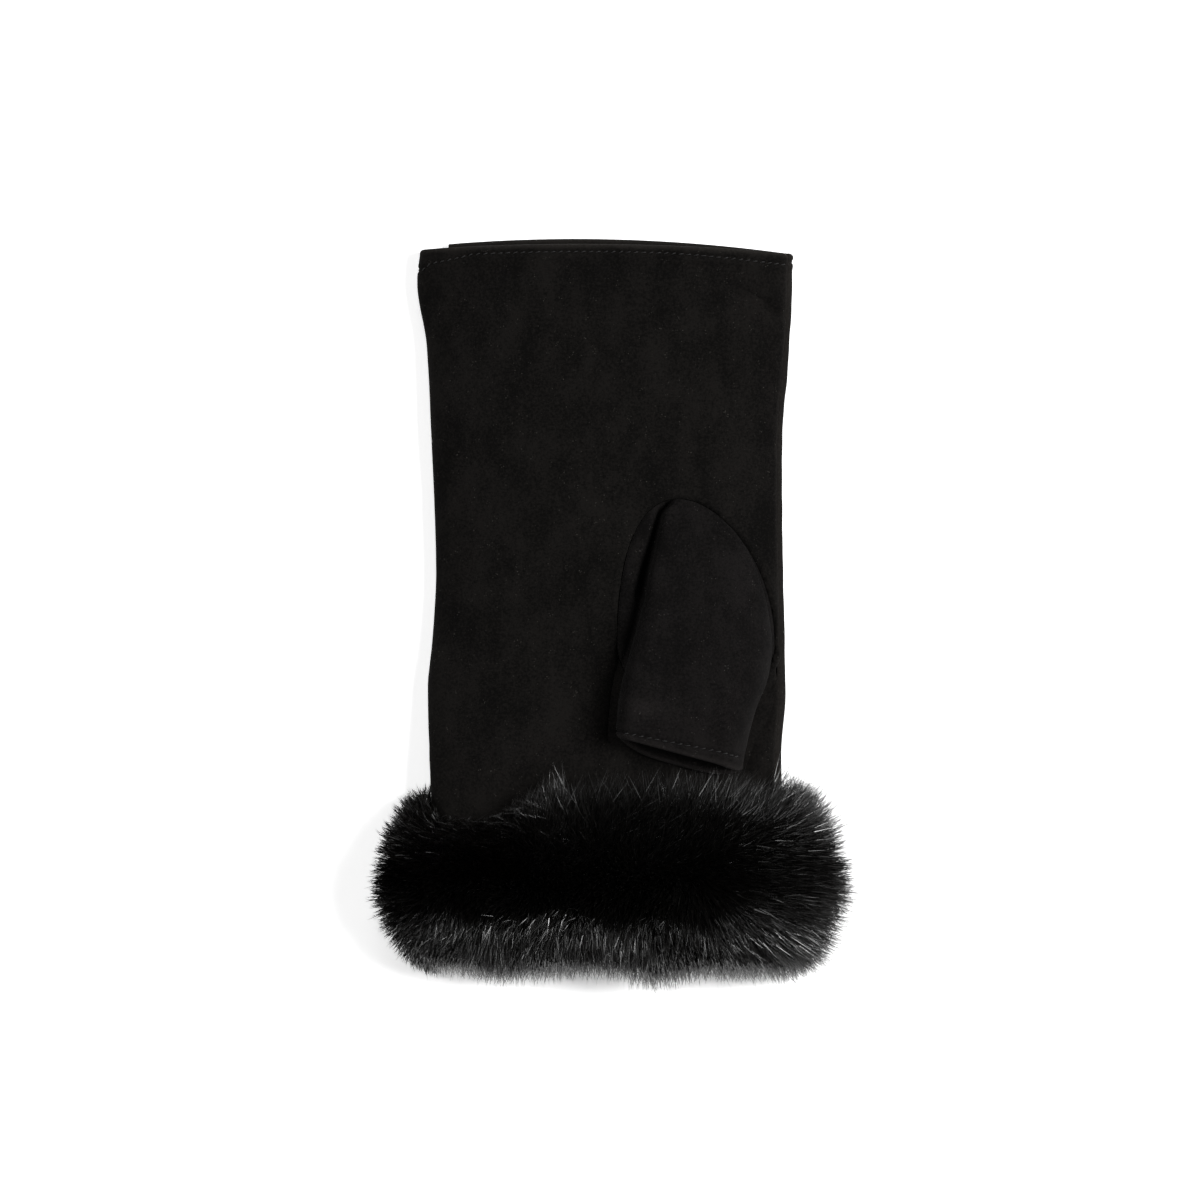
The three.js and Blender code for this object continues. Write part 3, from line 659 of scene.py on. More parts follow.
def closed_tube(grid):
    """Points and faces of a tube of loops, closed at both ends by a fan round its middle."""
    rows, cols = grid.shape[:2]
    ends = [grid[0].mean(0)[None], grid[-1].mean(0)[None]]
    points = np.concatenate([grid.reshape(-1, 3), *ends])
    j = np.arange(cols)
    k = (j + 1) % cols
    end = (rows - 1) * cols
    fans = np.concatenate([
        np.stack([0 * j + rows * cols, k, j], axis=1),
        np.stack([0 * j + rows * cols + 1, end + j, end + k], axis=1)])
    return points, outward(points, grid_faces(rows, cols, wrap=True), fans)


# %% The sleeve
def thumb_stitch_inset(t):
    """The rim's stitches draw away from it towards the right."""
    return 1.5 + 2.6 * t


#    centre         degrees  length  width  depth
SLEEVE_DENTS = [
    ((9.5, -24.0), 20, 7.0, 3.0, -0.7),
    ((33.0, -26.0), 62, 9.0, 2.6, 0.6),
    ((20.0, -6.0), 78, 17.0, 4.0, 0.45),
]


def sleeve_grid():
    """Outer loops to the rim, round it in a half circle, and inner loops to the room's end."""
    last = 1 - HEM_ROLL / THUMB_LENGTH
    outer = np.concatenate([np.linspace(0.03, 0.9, 84), np.linspace(0.9, last, 22)[1:]])
    roll = np.linspace(0, np.pi, 11)[1:-1]
    inner = np.concatenate([np.linspace(last, 0.92, 10), np.linspace(0.9, ROOM_START, 26)])
    turned = np.clip((inner - (1 - HEM_TURN / THUMB_LENGTH)) * THUMB_LENGTH / 0.6, 0, 1)
    share = np.concatenate([outer, 0 * roll + last, inner])
    wall_inset = LEATHER + (HEM_WALL - LEATHER) * turned
    inset = np.concatenate([0 * outer, HEM_ROLL * (1 - np.cos(roll)), wall_inset])
    past = np.concatenate([0 * outer, HEM_ROLL * np.sin(roll), 0 * inner])
    grid, t, lift = thumb_loops(share, inset, past)
    x, y = grid[..., 0], grid[..., 1]
    from_rim = (1 - share)[:, None] * THUMB_LENGTH - past[:, None]
    outside = (np.arange(len(share)) < len(outer))[:, None] * (lift > 0.02)
    height = 0.16 * waves(x, y, 16, 46, 7) + 0.05 * waves(x, y, 5, 12, 12)
    height = height * np.clip((from_rim - 3) / 8, 0.1, 1) * np.clip(share[:, None] * 3, 0, 1)
    height += groove(np.abs(from_rim - thumb_stitch_inset(t)), 0.45, 0.36, 0.5)
    for shape in SLEEVE_DENTS:
        height += dent(x, y, *shape)
    height = height * outside * shoulder(1 - t, 0.12)
    out = -normals_of(np.concatenate([grid, grid[:, :1]], axis=1))[:, :-1]
    # Lighter at the rim, where it is rubbed, and a painted highlight along the sleeve's right edge
    right_edge_highlight = outside * bell(1 - t, 0.035) * np.clip(5 * share[:, None] - 3.2, 0, 1)
    wear_and_highlight = bell(from_rim, 1.1) + 0.4 * right_edge_highlight
    # Painted highlight: a lit bulge low on the sleeve's left, made lighter
    wear_and_highlight -= outside * dent(x, y, (11.5, -26.8), -8, 6.0, 2.4, 0.5)
    return grid + out * height[..., None], np.minimum(wear_and_highlight, 1)


sleeve, sleeve_wear_and_highlight = sleeve_grid()
thumb = make_piece("thumb_suede", *closed_tube(sleeve))
paint(thumb, "wear_and_highlight", np.append(sleeve_wear_and_highlight.ravel(), [0, 0]))

# %% [markdown]
# The root is a thin plate with the seam's outline. Its top follows the palm, swells between
# the seam and the crease, and dips beside the crease, where the sleeve hangs over it.

# %% The root plate and the way in
def crease_dip(x, y):
    """The fold beside the sleeve: a narrow valley, deeper and wider near its top."""
    whole = line_distance(x + 0.9, y, sleeve_edge(1))
    top = line_distance(x + 1.1, y, sleeve_edge(1, 0.05, 0.42))
    return -1.0 * bell(whole, 0.9) - 1.8 * bell(top, 1.3)


def plate(inset, low, high, rings=48, cols=190):
    """A closed plate with the seam's outline: rings of points out to the seam, over and under."""
    angle = np.linspace(0, 2 * np.pi, cols, endpoint=False)
    edge_x, edge_y = oval(angle, inset)
    out = np.sin(np.linspace(0.02, np.pi / 2, rings))
    out = np.concatenate([out, out[::-1]])[:, None]
    x = SEAM_CENTRE_X - 2.5 + (edge_x + 2.5 - SEAM_CENTRE_X) * out
    y = SEAM_WIDE_Y + 8.0 + (edge_y - 8.0 - SEAM_WIDE_Y) * out
    upper = (np.arange(2 * rings) < rings)[:, None]
    z = np.where(upper, high(x, y), low(x, y))
    return closed_tube(np.stack([x, y, z], axis=2))


def root_top(x, y):
    """Palm height and shelf, a roll down into the seam, a swell, and a dip beside the crease."""
    inside = (1 - oval_size(x, y, SEAM_GAP / 2)) * SEAM_WIDTH / 2
    roll = -0.62 * np.exp(-np.maximum(inside, 0) / 0.5)
    relief = roll + 0.4 * bell(inside - 2.6, 2.0) + crease_dip(x, y)
    return palm_height(x, y) + SHELF + relief + 0.05 * waves(x, y, 6, 14, 8)


def root_bottom(x, y):
    return palm_height(x, y, LEATHER) + crease_dip(x, y)


def combine(target, points, face_sets, how):
    """Joins a closed solid to a piece, or cuts it out, with the Boolean modifier applied."""
    other = make_piece("other", points, face_sets)
    cut = target.modifiers.new("combine", "BOOLEAN")
    cut.operation, cut.solver, cut.object = how, "MANIFOLD", other
    paint(other, "wear_and_highlight", np.zeros(len(points)))
    graph = bpy.context.evaluated_depsgraph_get()
    mesh = bpy.data.meshes.new_from_object(target.evaluated_get(graph))
    target.modifiers.clear()
    target.data = mesh
    bpy.data.objects.remove(other)
    print(f"{how.lower()}: {len(mesh.vertices)} points, {len(mesh.polygons)} faces")


combine(thumb, *plate(0.02, root_bottom, root_top), "UNION")

way_in, _, _ = thumb_loops(np.linspace(0.2, 0.86, 24), 1.8, 0.0, sink=6.0, full=0.5)
inside = oval_size(way_in[..., 0], way_in[..., 1], 3.5)
centre = np.array([SEAM_CENTRE_X, SEAM_WIDE_Y])
way_in[..., :2] = centre + (way_in[..., :2] - centre) * np.minimum(1 / inside, 1)[..., None]
combine(thumb, *closed_tube(way_in), "DIFFERENCE")
thumb.data.polygons.foreach_set("use_smooth", np.ones(len(thumb.data.polygons), bool))
thumb.data.set_sharp_from_angle(angle=np.radians(50))

# %% [markdown]
# ## Stitches
#
# Each hem is held by one row of lockstitches. A stitch is a short bow of thread that comes
# out of the leather, lies in the groove and goes back in, slightly slanted because the two
# threads pull on each other. One stitch is a small tube, and arrays place copies of it along
# the row: a frame of tangent, side and normal at each place turns the same points.

# %% One row of stitches from many copies of one tube
STITCH_PITCH, STITCH_LENGTH, THREAD = 2.06, 1.6, 0.16


def one_stitch(rings=8, sides=6):
    """A bow along x: its height is a parabola, its radius swells in the middle."""
    u = np.linspace(-1, 1, rings)
    angle = np.linspace(0, 2 * np.pi, sides, endpoint=False)
    radius = THREAD * (0.55 + 0.45 * np.sqrt(1 - 0.94 * u ** 2))
    centre = np.stack([u * STITCH_LENGTH / 2, 0 * u, 0.16 - 0.42 * u ** 2], axis=1)
    ring = np.stack([0 * angle, np.cos(angle), np.sin(angle)], axis=1)
    return centre[:, None, :] + radius[:, None, None] * ring[None]


def stitch_row(line, up):
    """Copies of one stitch along a line of points with normals; returns points and faces."""
    length = length_along(line)
    count = int(length[-1] / STITCH_PITCH)
    place = (np.arange(count) + 0.5) * length[-1] / count

    def sample(values, at):
        return np.stack([np.interp(at, length, values[:, c]) for c in range(3)], axis=1)

    tangent = unit(sample(line, place + 0.4) - sample(line, place - 0.4))
    side = unit(np.cross(sample(up, place), tangent))
    slant = np.radians(17) + rng.normal(0, np.radians(5), count)[:, None]
    forward = tangent * np.cos(slant) + side * np.sin(slant)
    across = side * np.cos(slant) - tangent * np.sin(slant)
    axes = np.stack([forward, across, np.cross(tangent, side)], axis=1)
    shape = one_stitch()
    rings, sides = shape.shape[:2]
    points = np.einsum("rsk,nkc->nrsc", shape, axes) + sample(line, place)[:, None, None, :]
    j = np.arange(1, sides - 1)
    caps = np.concatenate([
        np.stack([0 * j, j + 1, j], axis=1),
        (rings - 1) * sides + np.stack([0 * j, j, j + 1], axis=1)])
    faces = outward(shape.reshape(-1, 3), grid_faces(rings, sides, wrap=True), caps)
    shift = (np.arange(count) * rings * sides)[:, None, None]
    return points.reshape(-1, 3), [(f[None] + shift).reshape(-1, f.shape[1]) for f in faces]


HEM_SINK, RIM_SINK = 0.26, 0.22   # how deep the stitches lie in their groove


def hem_line(turns, bow, corner):
    """The stitched line of a hem, sunk into its groove, and its normals."""
    y = np.full(len(turns), HEM_Y)
    for _ in range(3):
        x, z = hand_outline(turns, y)
        edge_x = np.where((turns > 1) & corner, float(hand_section(HEM_Y)[0]), x)
        y = hem_edge(edge_x, bow) - stitch_inset(edge_x, bow)
    (x0, z0), (x1, z1) = (hand_outline(turns + step, y) for step in (-0.002, 0.002))
    normal = unit(np.stack([z1 - z0, 0 * y, x0 - x1], axis=1))
    return np.stack([x, y, z], axis=1) - HEM_SINK * normal, normal


def thumb_line():
    """The stitched line of the thumb's rim, over its top from fold to fold, and its normals."""
    t = np.linspace(0.05, 0.955, 60)
    grid, grid_t, _ = thumb_loops(1 - thumb_stitch_inset(t) / THUMB_LENGTH, 0.0, 0.0)
    top = slice(FLOOR_COLS, THUMB_COLS - FOLD_COLS)
    line = np.stack([
        [np.interp(t[i], grid_t[i, top][::-1], grid[i, top, c][::-1]) for c in range(3)]
        for i in range(len(t))])
    normal = np.cross(np.array([LEAN_SLOPE, -1.0, 0.0]), np.gradient(line, axis=0))
    normal = unit(normal * np.sign(normal[:, 2:]))
    return line - RIM_SINK * normal, normal


rows = [stitch_row(*line) for line in (
    hem_line(np.linspace(0.09, 2.06, 400), PALM_BOW, True),
    hem_line(np.linspace(2.07, 4.06, 400), BACK_BOW, False),
    thumb_line())]
starts = np.cumsum([0] + [len(points) for points, _ in rows])
faces = [np.concatenate([sets[k] + start for (_, sets), start in zip(rows, starts)])
         for k in (0, 1)]
stitches = make_piece("hem_stitches", np.concatenate([points for points, _ in rows]), faces)

# %% [markdown]
# ## The fur cuff
#
# The cuff is a band of cloth, 28 mm wide, with a pile 16.5 mm deep. Over the band's middle the
# hair stands straight up, and towards both edges it fans out over the hand and past the end.
# One function gives a point of the fur from three numbers: how far round the cuff, the angle
# across the band, and how deep in the pile, from 0 at the cloth to 1 at the tips. The cloth
# with the densest hair is one closed ring, and single hairs are drawn on the same function.

# %% Sizes of the fur, and a point in the pile
PILE, BACKING, BAND, BAND_MID_Y = 16.5, 1.5, 28.0, -73.9
PILE_FAN, FUR_SQUARE = 0.15, 3.0
PART, PART_TO_HAND, PART_TO_END = 1.25, 1.3, 0.35

#        around  out   hand   end
FUR_REACH = np.array([
    [0.00, 1.04, 0.80, 0.80],
    [0.04, 1.00, 1.05, 0.92],
    [0.09, 0.90, 1.28, 0.95],
    [0.16, 0.80, 1.34, 1.00],
    [0.23, 0.80, 1.34, 0.90],
    [0.29, 0.80, 1.16, 0.80],
    [0.35, 0.82, 0.60, 0.92],
    [0.40, 0.82, 0.20, 0.90],
    [0.45, 0.84, 0.20, 0.78],
    [0.49, 0.86, 0.60, 0.68],
    [0.58, 0.84, 0.80, 0.80],
    [0.74, 0.90, 0.86, 0.90],
    [0.93, 0.98, 0.80, 0.85],
    [1.00, 1.04, 0.80, 0.80],
])
ROUND = np.linspace(0, 4, 1601)
PILE_MIDDLE = np.stack(
    hand_outline(ROUND, BAND_MID_Y, -SEAM_GAP - BACKING - PILE / 2), axis=1)
PILE_LENGTH = length_along(PILE_MIDDLE)
BAND_X, BAND_Z = hand_outline(ROUND, BAND_MID_Y, -SEAM_GAP - BACKING)


def turn_of(around):
    """Turn of the hand's section at a share of the length round the cuff."""
    return np.interp(around % 1 * PILE_LENGTH[-1], PILE_LENGTH, ROUND)


def pile_directions():
    """The way the hair stands at each turn: square to the band, leaning a little outwards."""
    outline = lambda turn, inset=0.0: np.stack(hand_outline(turn, BAND_MID_Y, inset), axis=1)
    along = outline((ROUND + 0.004) % 4) - outline((ROUND - 0.004) % 4)
    square = unit(along[:, ::-1] * [1, -1])
    spread = unit(outline(ROUND, -1) - outline(ROUND))
    return unit(square + (spread - square) * PILE_FAN).T


PILE_DX, PILE_DZ = pile_directions()


def fur_point(around, angle, depth):
    """A point of the fur.

    Out from the band it reaches depth * out * |cos angle| ** (2 / 3) of the pile, and along
    the hand |sin angle| ** part, from a root at the angle's share of the band's half width. A
    high part, on top of the mitten, keeps the hair upright until close to the band's edge.
    Under the mitten the hair is pressed flat on the table, and it keeps off the leather.
    """
    around, angle, depth = np.broadcast_arrays(around, angle, depth)
    around = around % 1
    turn = turn_of(around)
    out, hand, end = (column(FUR_REACH, c, around) for c in (1, 2, 3))
    low = np.clip((np.abs(angle) - 70) / 14, 0, 1)
    hand = np.where((around > 0.05) & (around < 0.3), hand * (1 - 0.48 * low), hand)
    band_x, band_z, pile_dx, pile_dz = (
        np.interp(turn, ROUND, values) for values in (BAND_X, BAND_Z, PILE_DX, PILE_DZ))
    lean = np.radians(angle)
    outwards = PILE * depth * out * np.abs(np.cos(lean)) ** (2 / FUR_SQUARE)
    part = PART + np.where(angle > 0, PART_TO_HAND, PART_TO_END) * np.clip(pile_dz, 0, 1)
    endwards = PILE * depth * np.where(angle > 0, hand, end) * np.abs(np.sin(lean)) ** part
    x = band_x + pile_dx * outwards
    y = BAND_MID_Y + BAND / 2 * angle / 90 + np.sign(angle) * endwards
    z = band_z + pile_dz * outwards
    left, right, _, base = hand_section(y)
    over_hand = (x > left + 2) & (x < right - 2) & (y > HAND_END_Y)
    z = np.where(over_hand & (turn < 1), np.maximum(z, palm_height(x, y) + 0.35), z)
    z = np.where(over_hand & (turn > 1.5), np.minimum(z, base - 0.25), z)
    return x, y, z


# %% The band with its densest hair, as one ring
def fur_base(around_count=220, across_count=15, depth=0.34):
    """A ring whose section goes over the dense hair and back along the hand."""
    around = np.arange(around_count)[:, None] / around_count
    x, y, z = fur_point(around, np.linspace(88, -88, across_count)[None, :], depth)
    back_y = np.linspace(0, 1, 8)[None, :] * (y[:, :1] - y[:, -1:]) + y[:, -1:]
    inner_y = np.clip(back_y, -90.5, -57.0)
    inner_x, inner_z = hand_outline(turn_of(around), inner_y, -SEAM_GAP)
    over, back = (x, y, np.maximum(z, 0.3)), (inner_x, inner_y, inner_z)
    grid = np.stack([np.concatenate(pair, axis=1) for pair in zip(over, back)], axis=2)
    rows, cols = grid.shape[:2]
    points = grid.reshape(-1, 3)
    return points, outward(points, grid_faces(rows + 1, cols, wrap=True) % (rows * cols))


fur_band = make_piece("fur_band", *fur_base())

# %% [markdown]
# ## The hair
#
# Synthetic fur is dense and springy, and its hairs gather in small tufts whose tips lean
# together. A hair is a closed spike with three sides and ten triangles, bent once on its way.
# Each gets a place on the band, its own length, the lean of its tuft and a slow drift that
# it shares with its neighbours, so the light runs over the fur in streaks. Most hairs end
# upright and look black from above. Towards the open end of the cuff they flop over, so
# they lie flat and shine there, and the outermost ones hang down and are dark again. One
# hair in six is a thicker and glossier guard hair. All the hairs are computed at once and
# go into four pieces, one for each side of the cuff.

# %% All hairs at once
HAIRS = 66000
HAIR_RADIUS = 0.062
TUFTS_AROUND, TUFTS_ACROSS = 170, 32
CUFF_ROUND = 260         # length round the tips, which scales the drift


def ramp(values, low, high):
    """0 below low, 1 above high and a smooth step between them."""
    t = np.clip((values - low) / (high - low), 0, 1)
    return t * t * (3 - 2 * t)


def pile_lean(around):
    """How far the pile points to the left, to the right and up at a share round the cuff."""
    sideways, up = (np.interp(turn_of(around), ROUND, values) for values in (PILE_DX, PILE_DZ))
    return ramp(-sideways, 0.2, 0.7), ramp(sideways, 0.2, 0.7), ramp(up, 0.0, 0.5)


def hair_paths():
    """Root, middle and tip of every hair, its share round the cuff, its thickness and shine.

    The middle keeps the pile's curve, or, as far as the hair is upright, is moved sideways
    to 0.86 of the way to the tip. Towards the open end the tips drop by 3 mm, and by 6 mm
    more at the edge, sooner where the pile parts. On the right they lean over by 4 mm.
    """
    around = rng.random(HAIRS)
    angle = rng.uniform(-89, 89, HAIRS)
    place = (around * CUFF_ROUND, angle / 3)
    row = np.floor((angle + 90) / 180 * TUFTS_ACROSS)
    tuft = np.floor(around * TUFTS_AROUND + 0.5 * (row % 2))

    def tuft_random(seed):
        return np.modf(np.abs(np.sin(tuft * 12.99 + row * 78.23 + seed) * 43758.5))[0]

    tuft_around = (tuft + 0.5 - 0.5 * (row % 2) + 0.7 * (tuft_random(1) - 0.5)) / TUFTS_AROUND
    tuft_angle = (row + 0.5 + 0.7 * (tuft_random(2) - 0.5)) / TUFTS_ACROSS * 180 - 90
    gather = rng.uniform(0.1, 0.6, HAIRS)
    drift_a, drift_b = waves(*place, 14, 60, 8), waves(*place, 14, 60, 8)
    edge = np.abs(np.sin(np.radians(angle))) ** 1.5
    loose = (0.003 + np.where(angle > 0, 0.014, 0.006) * edge) * rng.normal(0, 1, HAIRS)
    tip_around = around + (tuft_around - around) * gather + 0.007 * drift_a + loose
    tip_angle = angle + (tuft_angle - angle) * gather + 5.0 * drift_b + rng.normal(0, 4.0, HAIRS)
    tip_angle = np.clip(tip_angle, -90, 90)
    spread = np.where(angle > 0, 0.42, 0.26)
    length = 1.15 - spread * rng.random(HAIRS) ** 1.4 - 0.07 * tuft_random(3)
    length += 0.03 * waves(*place, 20, 80, 6)
    stray = rng.random(HAIRS) < 0.08
    length = np.where(stray, length + rng.uniform(0.03, 0.13, HAIRS), length)
    root = fur_point(around, angle, rng.uniform(0.18, 0.36, HAIRS))
    half = (around + 0.5 * (tip_around - around), angle + 0.5 * (tip_angle - angle))
    middle, tip = fur_point(*half, 0.66 * length), fur_point(tip_around, tip_angle, length)
    path = np.stack([np.stack(p, axis=1) for p in (root, middle, tip)], axis=1)
    left, right, top = pile_lean(around)
    x = path[:, 0, 0].copy()
    uneven = 9 * waves(*place, 12, 50, 8) - angle
    parting = 14 * bell(x - 23, 7)
    over = top * ramp(x, 12, 48)
    to_hand = angle > 0
    dull = np.where(to_hand, ramp(-x, 16, 28), 0.75 * ramp(-x, 46, 56))
    flopped = np.where(to_hand, (0.95 - 0.6 * dull) * ramp(angle, 44, 62), ramp(uneven, 18, 42))
    upright = np.maximum(1 - flopped, 0.7 * left) * (1 - 0.7 * np.maximum(right, over))
    sideways = path[:, 0, :2] + 0.86 * (path[:, 2, :2] - path[:, 0, :2])
    path[:, 1, :2] += upright[:, None] * (sideways - path[:, 1, :2])
    path[:, 2, 2] -= top * (3 * ramp(uneven, 26, 46) + 6 * ramp(uneven + parting, 57, 77))
    path[:, 1:] += over[:, None, None] * np.array([[1.2, 0, 0], [4.0, 0, -2.5]])
    path[:, 1] += rng.normal(0, 0.3, (HAIRS, 3))
    path[:, 2] += rng.normal(0, 0.2, (HAIRS, 3))
    floor = 0.12 + 0.9 * rng.random(HAIRS)[:, None]
    path[..., 2] = np.maximum(path[..., 2], floor)
    guard = rng.random(HAIRS) < 1 / 6
    shine = (1 - 0.82 * dull) * np.where(guard, 1, 0.55 + 0.4 * ramp(angle, 40, 60))
    rim = np.maximum(np.maximum(left, right), ramp(uneven, 55, 78))
    thick = rng.uniform(0.75, 1.2, HAIRS) + 0.7 * guard + 0.5 * rim
    return path, around, thick, shine


def hair_mesh(path, thick):
    """Spikes along the paths: rings of three points at the root and middle, and the tip."""
    count = len(path)
    tangent = unit(path[:, 2] - path[:, 0])
    side = unit(np.cross(tangent, rng.normal(0, 1, (count, 3))))
    angle = (np.arange(3) * 2 * np.pi / 3)[:, None]
    ring = np.cos(angle) * side[:, None] + np.sin(angle) * np.cross(tangent, side)[:, None]
    radius = HAIR_RADIUS * thick[:, None, None]
    root = path[:, None, 0] + 0.9 * radius * ring
    middle = path[:, None, 1] + radius * ring
    points = np.concatenate([root, middle, path[:, 2:3]], axis=1)
    j = np.arange(3)
    k = (j + 1) % 3
    triangles = np.concatenate([
        np.stack([j, k, k + 3], axis=1), np.stack([j, k + 3, j + 3], axis=1),
        np.stack([j + 3, k + 3, 0 * j + 6], axis=1), [[0, 2, 1]]])
    faces = triangles[None] + (np.arange(count) * 7)[:, None, None]
    return points.reshape(-1, 3), faces.reshape(-1, 3)


paths, around, thick, shine = hair_paths()
hair_pieces = []
quarters = ("fur_over_palm", "fur_over_left", "fur_under_left", "fur_under_right")
for quarter, name in enumerate(quarters):
    mine = np.floor(around * 4) == quarter
    points, faces = hair_mesh(paths[mine], thick[mine])
    hair = make_piece(name, points, [faces])
    hair.data.polygons.foreach_set("use_smooth", np.zeros(len(faces), bool))
    paint(hair, "hair_tone", np.repeat(rng.random(mine.sum()) ** 1.5, 7))
    paint(hair, "hair_depth", np.tile([0, 0, 0, 0.6, 0.6, 0.6, 1.0], mine.sum()))
    paint(hair, "hair_shine", np.repeat(shine[mine], 7))
    hair_pieces.append(hair)

# %% [markdown]
# ## Finishes
#
# Suede is leather with its fibres brushed up. It has no gloss, a soft bloom where the light
# grazes it, and darker and lighter patches where the nap lies one way or the other. Here and
# there a fibre catches the light as a tiny speck. The nap is used by the panels, the thumb
# and the cuff's cloth, so it is a node group with its own inputs.

# %% A group for the nap
def feed(tree, node, inputs):
    """Fills a node's inputs: an output is linked, and anything else is the input's value."""
    for key, value in inputs.items():
        if isinstance(value, bpy.types.NodeSocket):
            tree.links.new(value, node.inputs[key])
        else:
            node.inputs[key].default_value = value


def add(tree, kind, inputs=None, **settings):
    """The outputs of a new node with these settings and inputs."""
    node = tree.nodes.new(kind)
    for key, value in settings.items():
        setattr(node, key, value)
    feed(tree, node, inputs or {})
    return node.outputs


def nap_group():
    """Tone of the patches, height of the fibres and a mask of specks, from a place."""
    tree = bpy.data.node_groups.new("suede_nap", "ShaderNodeTree")
    new = tree.interface.new_socket
    new("Place", in_out="INPUT", socket_type="NodeSocketVector")
    scales = {"Patch Scale": 90.0, "Fibre Scale": 2600.0, "Speck Scale": 900.0, "Grain": 0.8}
    for name, value in scales.items():
        new(name, in_out="INPUT", socket_type="NodeSocketFloat").default_value = value
    for name in ("Tone", "Fibre", "Speck"):
        new(name, in_out="OUTPUT", socket_type="NodeSocketFloat")
    given = add(tree, "NodeGroupInput")
    brushed = add(tree, "ShaderNodeVectorMath", {
        0: given["Place"], 1: (1.25, 0.7, 1.0)}, operation="MULTIPLY")
    patch = add(tree, "ShaderNodeTexNoise", {
        "Vector": brushed["Vector"], "Scale": given["Patch Scale"],
        "Detail": 6.0, "Roughness": 0.62, "Distortion": 0.15})
    level = add(tree, "ShaderNodeMapRange", {
        "Value": patch["Fac"], "From Min": 0.32, "From Max": 0.68}, clamp=False)
    fibre = add(tree, "ShaderNodeTexNoise", {
        "Vector": given["Place"], "Scale": given["Fibre Scale"], "Detail": 4.0, "Roughness": 0.8})
    grain = add(tree, "ShaderNodeMapRange", {
        "Value": fibre["Fac"], "From Min": 0.35, "From Max": 0.65,
        "To Min": -0.5, "To Max": 0.5}, clamp=False)
    tone = add(tree, "ShaderNodeMath", {
        0: grain["Result"], 1: given["Grain"], 2: level["Result"]}, operation="MULTIPLY_ADD")
    cells = add(tree, "ShaderNodeTexVoronoi", {
        "Vector": given["Place"], "Scale": given["Speck Scale"], "Randomness": 1.0})
    rare = add(tree, "ShaderNodeTexNoise", {
        "Vector": given["Place"], "Scale": 420.0, "Detail": 1.0})
    dot = add(tree, "ShaderNodeMapRange", {
        "Value": cells["Distance"], "From Min": 0.24, "From Max": 0.12})
    few = add(tree, "ShaderNodeMapRange", {
        "Value": rare["Fac"], "From Min": 0.58, "From Max": 0.72})
    speck = add(tree, "ShaderNodeMath", {0: dot["Result"], 1: few["Result"]}, operation="MULTIPLY")
    add(tree, "NodeGroupOutput", {
        "Tone": tone["Value"], "Fibre": fibre["Fac"], "Speck": speck["Value"]})
    return tree


NAP = nap_group()
WEAR_AND_HIGHLIGHT_GAIN = 3.4               # rubbed places and painted highlights are so many times as light


def new_finish(name):
    """An empty material with a Principled shader; returns material, tree and shader."""
    finish = bpy.data.materials.new(name)
    finish.use_nodes = True
    tree = finish.node_tree
    return finish, tree, tree.nodes["Principled BSDF"]


def mixed(tree, factor, *colours):
    """A blend of two colours, each of them a colour or an output."""
    a, b = (c if isinstance(c, bpy.types.NodeSocket) else (*c, 1) for c in colours)
    inputs = {"Factor": factor, "A": a, "B": b}
    return add(tree, "ShaderNodeMix", inputs, data_type="RGBA")["Result"]


def nap_finish(name, dark, light, speck, nap_values, bump, sheen):
    """A brushed finish: patches between two colours, specks, and fibres as bump."""
    finish, tree, shader = new_finish(name)
    place = add(tree, "ShaderNodeTexCoord")["Object"]
    nap = add(tree, "ShaderNodeGroup", {**nap_values, "Place": place}, node_tree=NAP)
    patches = mixed(tree, nap["Tone"], dark, light)
    # Rub and painted highlight: the attribute painted on the suede pieces lightens the colour, for
    # real rub at hems and rims and for painted highlight along the side seam and on the thumb
    wear_and_highlight = add(tree, "ShaderNodeAttribute", attribute_name="wear_and_highlight")["Fac"]
    uneven = add(tree, "ShaderNodeMath", {0: wear_and_highlight, 1: nap["Fibre"]}, operation="MULTIPLY")
    worn_and_lit = mixed(tree, uneven["Value"], patches, [WEAR_AND_HIGHLIGHT_GAIN * c for c in light])
    rough = add(tree, "ShaderNodeMapRange", {
        "Value": nap["Fibre"], "To Min": 0.82, "To Max": 0.98})
    relief = add(tree, "ShaderNodeBump", {
        "Strength": bump[0], "Distance": bump[1], "Height": nap["Fibre"]})
    feed(tree, shader, {
        "Base Color": mixed(tree, nap["Speck"], worn_and_lit, speck),
        "Roughness": rough["Result"], "Normal": relief["Normal"]})
    shader.inputs["Specular IOR Level"].default_value = 0.04
    shader.inputs["Sheen Weight"].default_value = sheen[0]
    shader.inputs["Sheen Roughness"].default_value = sheen[1]
    shader.inputs["Sheen Tint"].default_value = (*sheen[2], 1)
    return finish


SUEDE = nap_finish(
    "black_suede", (0.0012, 0.00107, 0.00095), (0.0049, 0.00435, 0.00394), (0.03, 0.028, 0.025),
    {"Patch Scale": 85.0, "Fibre Scale": 1400.0, "Speck Scale": 1500.0, "Grain": 1.3},
    (0.5, 0.00025), (0.012, 0.5, (0.9, 0.88, 0.86)))
THUMB_SUEDE = nap_finish(
    "thumb_suede", (0.0014, 0.00121, 0.00116), (0.0047, 0.00411, 0.00398), (0.03, 0.028, 0.026),
    {"Patch Scale": 110.0, "Fibre Scale": 1400.0, "Speck Scale": 1500.0, "Grain": 1.3},
    (0.5, 0.00025), (0.014, 0.5, (0.9, 0.88, 0.88)))
BAND_CLOTH = nap_finish(
    "fur_band_cloth", (0.0012, 0.0011, 0.0010), (0.0022, 0.0020, 0.0019), (0.004, 0.004, 0.004),
    {"Patch Scale": 160.0, "Fibre Scale": 1500.0, "Speck Scale": 900.0},
    (0.8, 0.0005), (0.0, 0.5, (1.0, 1.0, 1.0)))

# %% [markdown]
# The thread is a smooth, twisted polyester, so it has a small highlight that the suede lacks.
# The twist is a fine slanted band across each stitch.

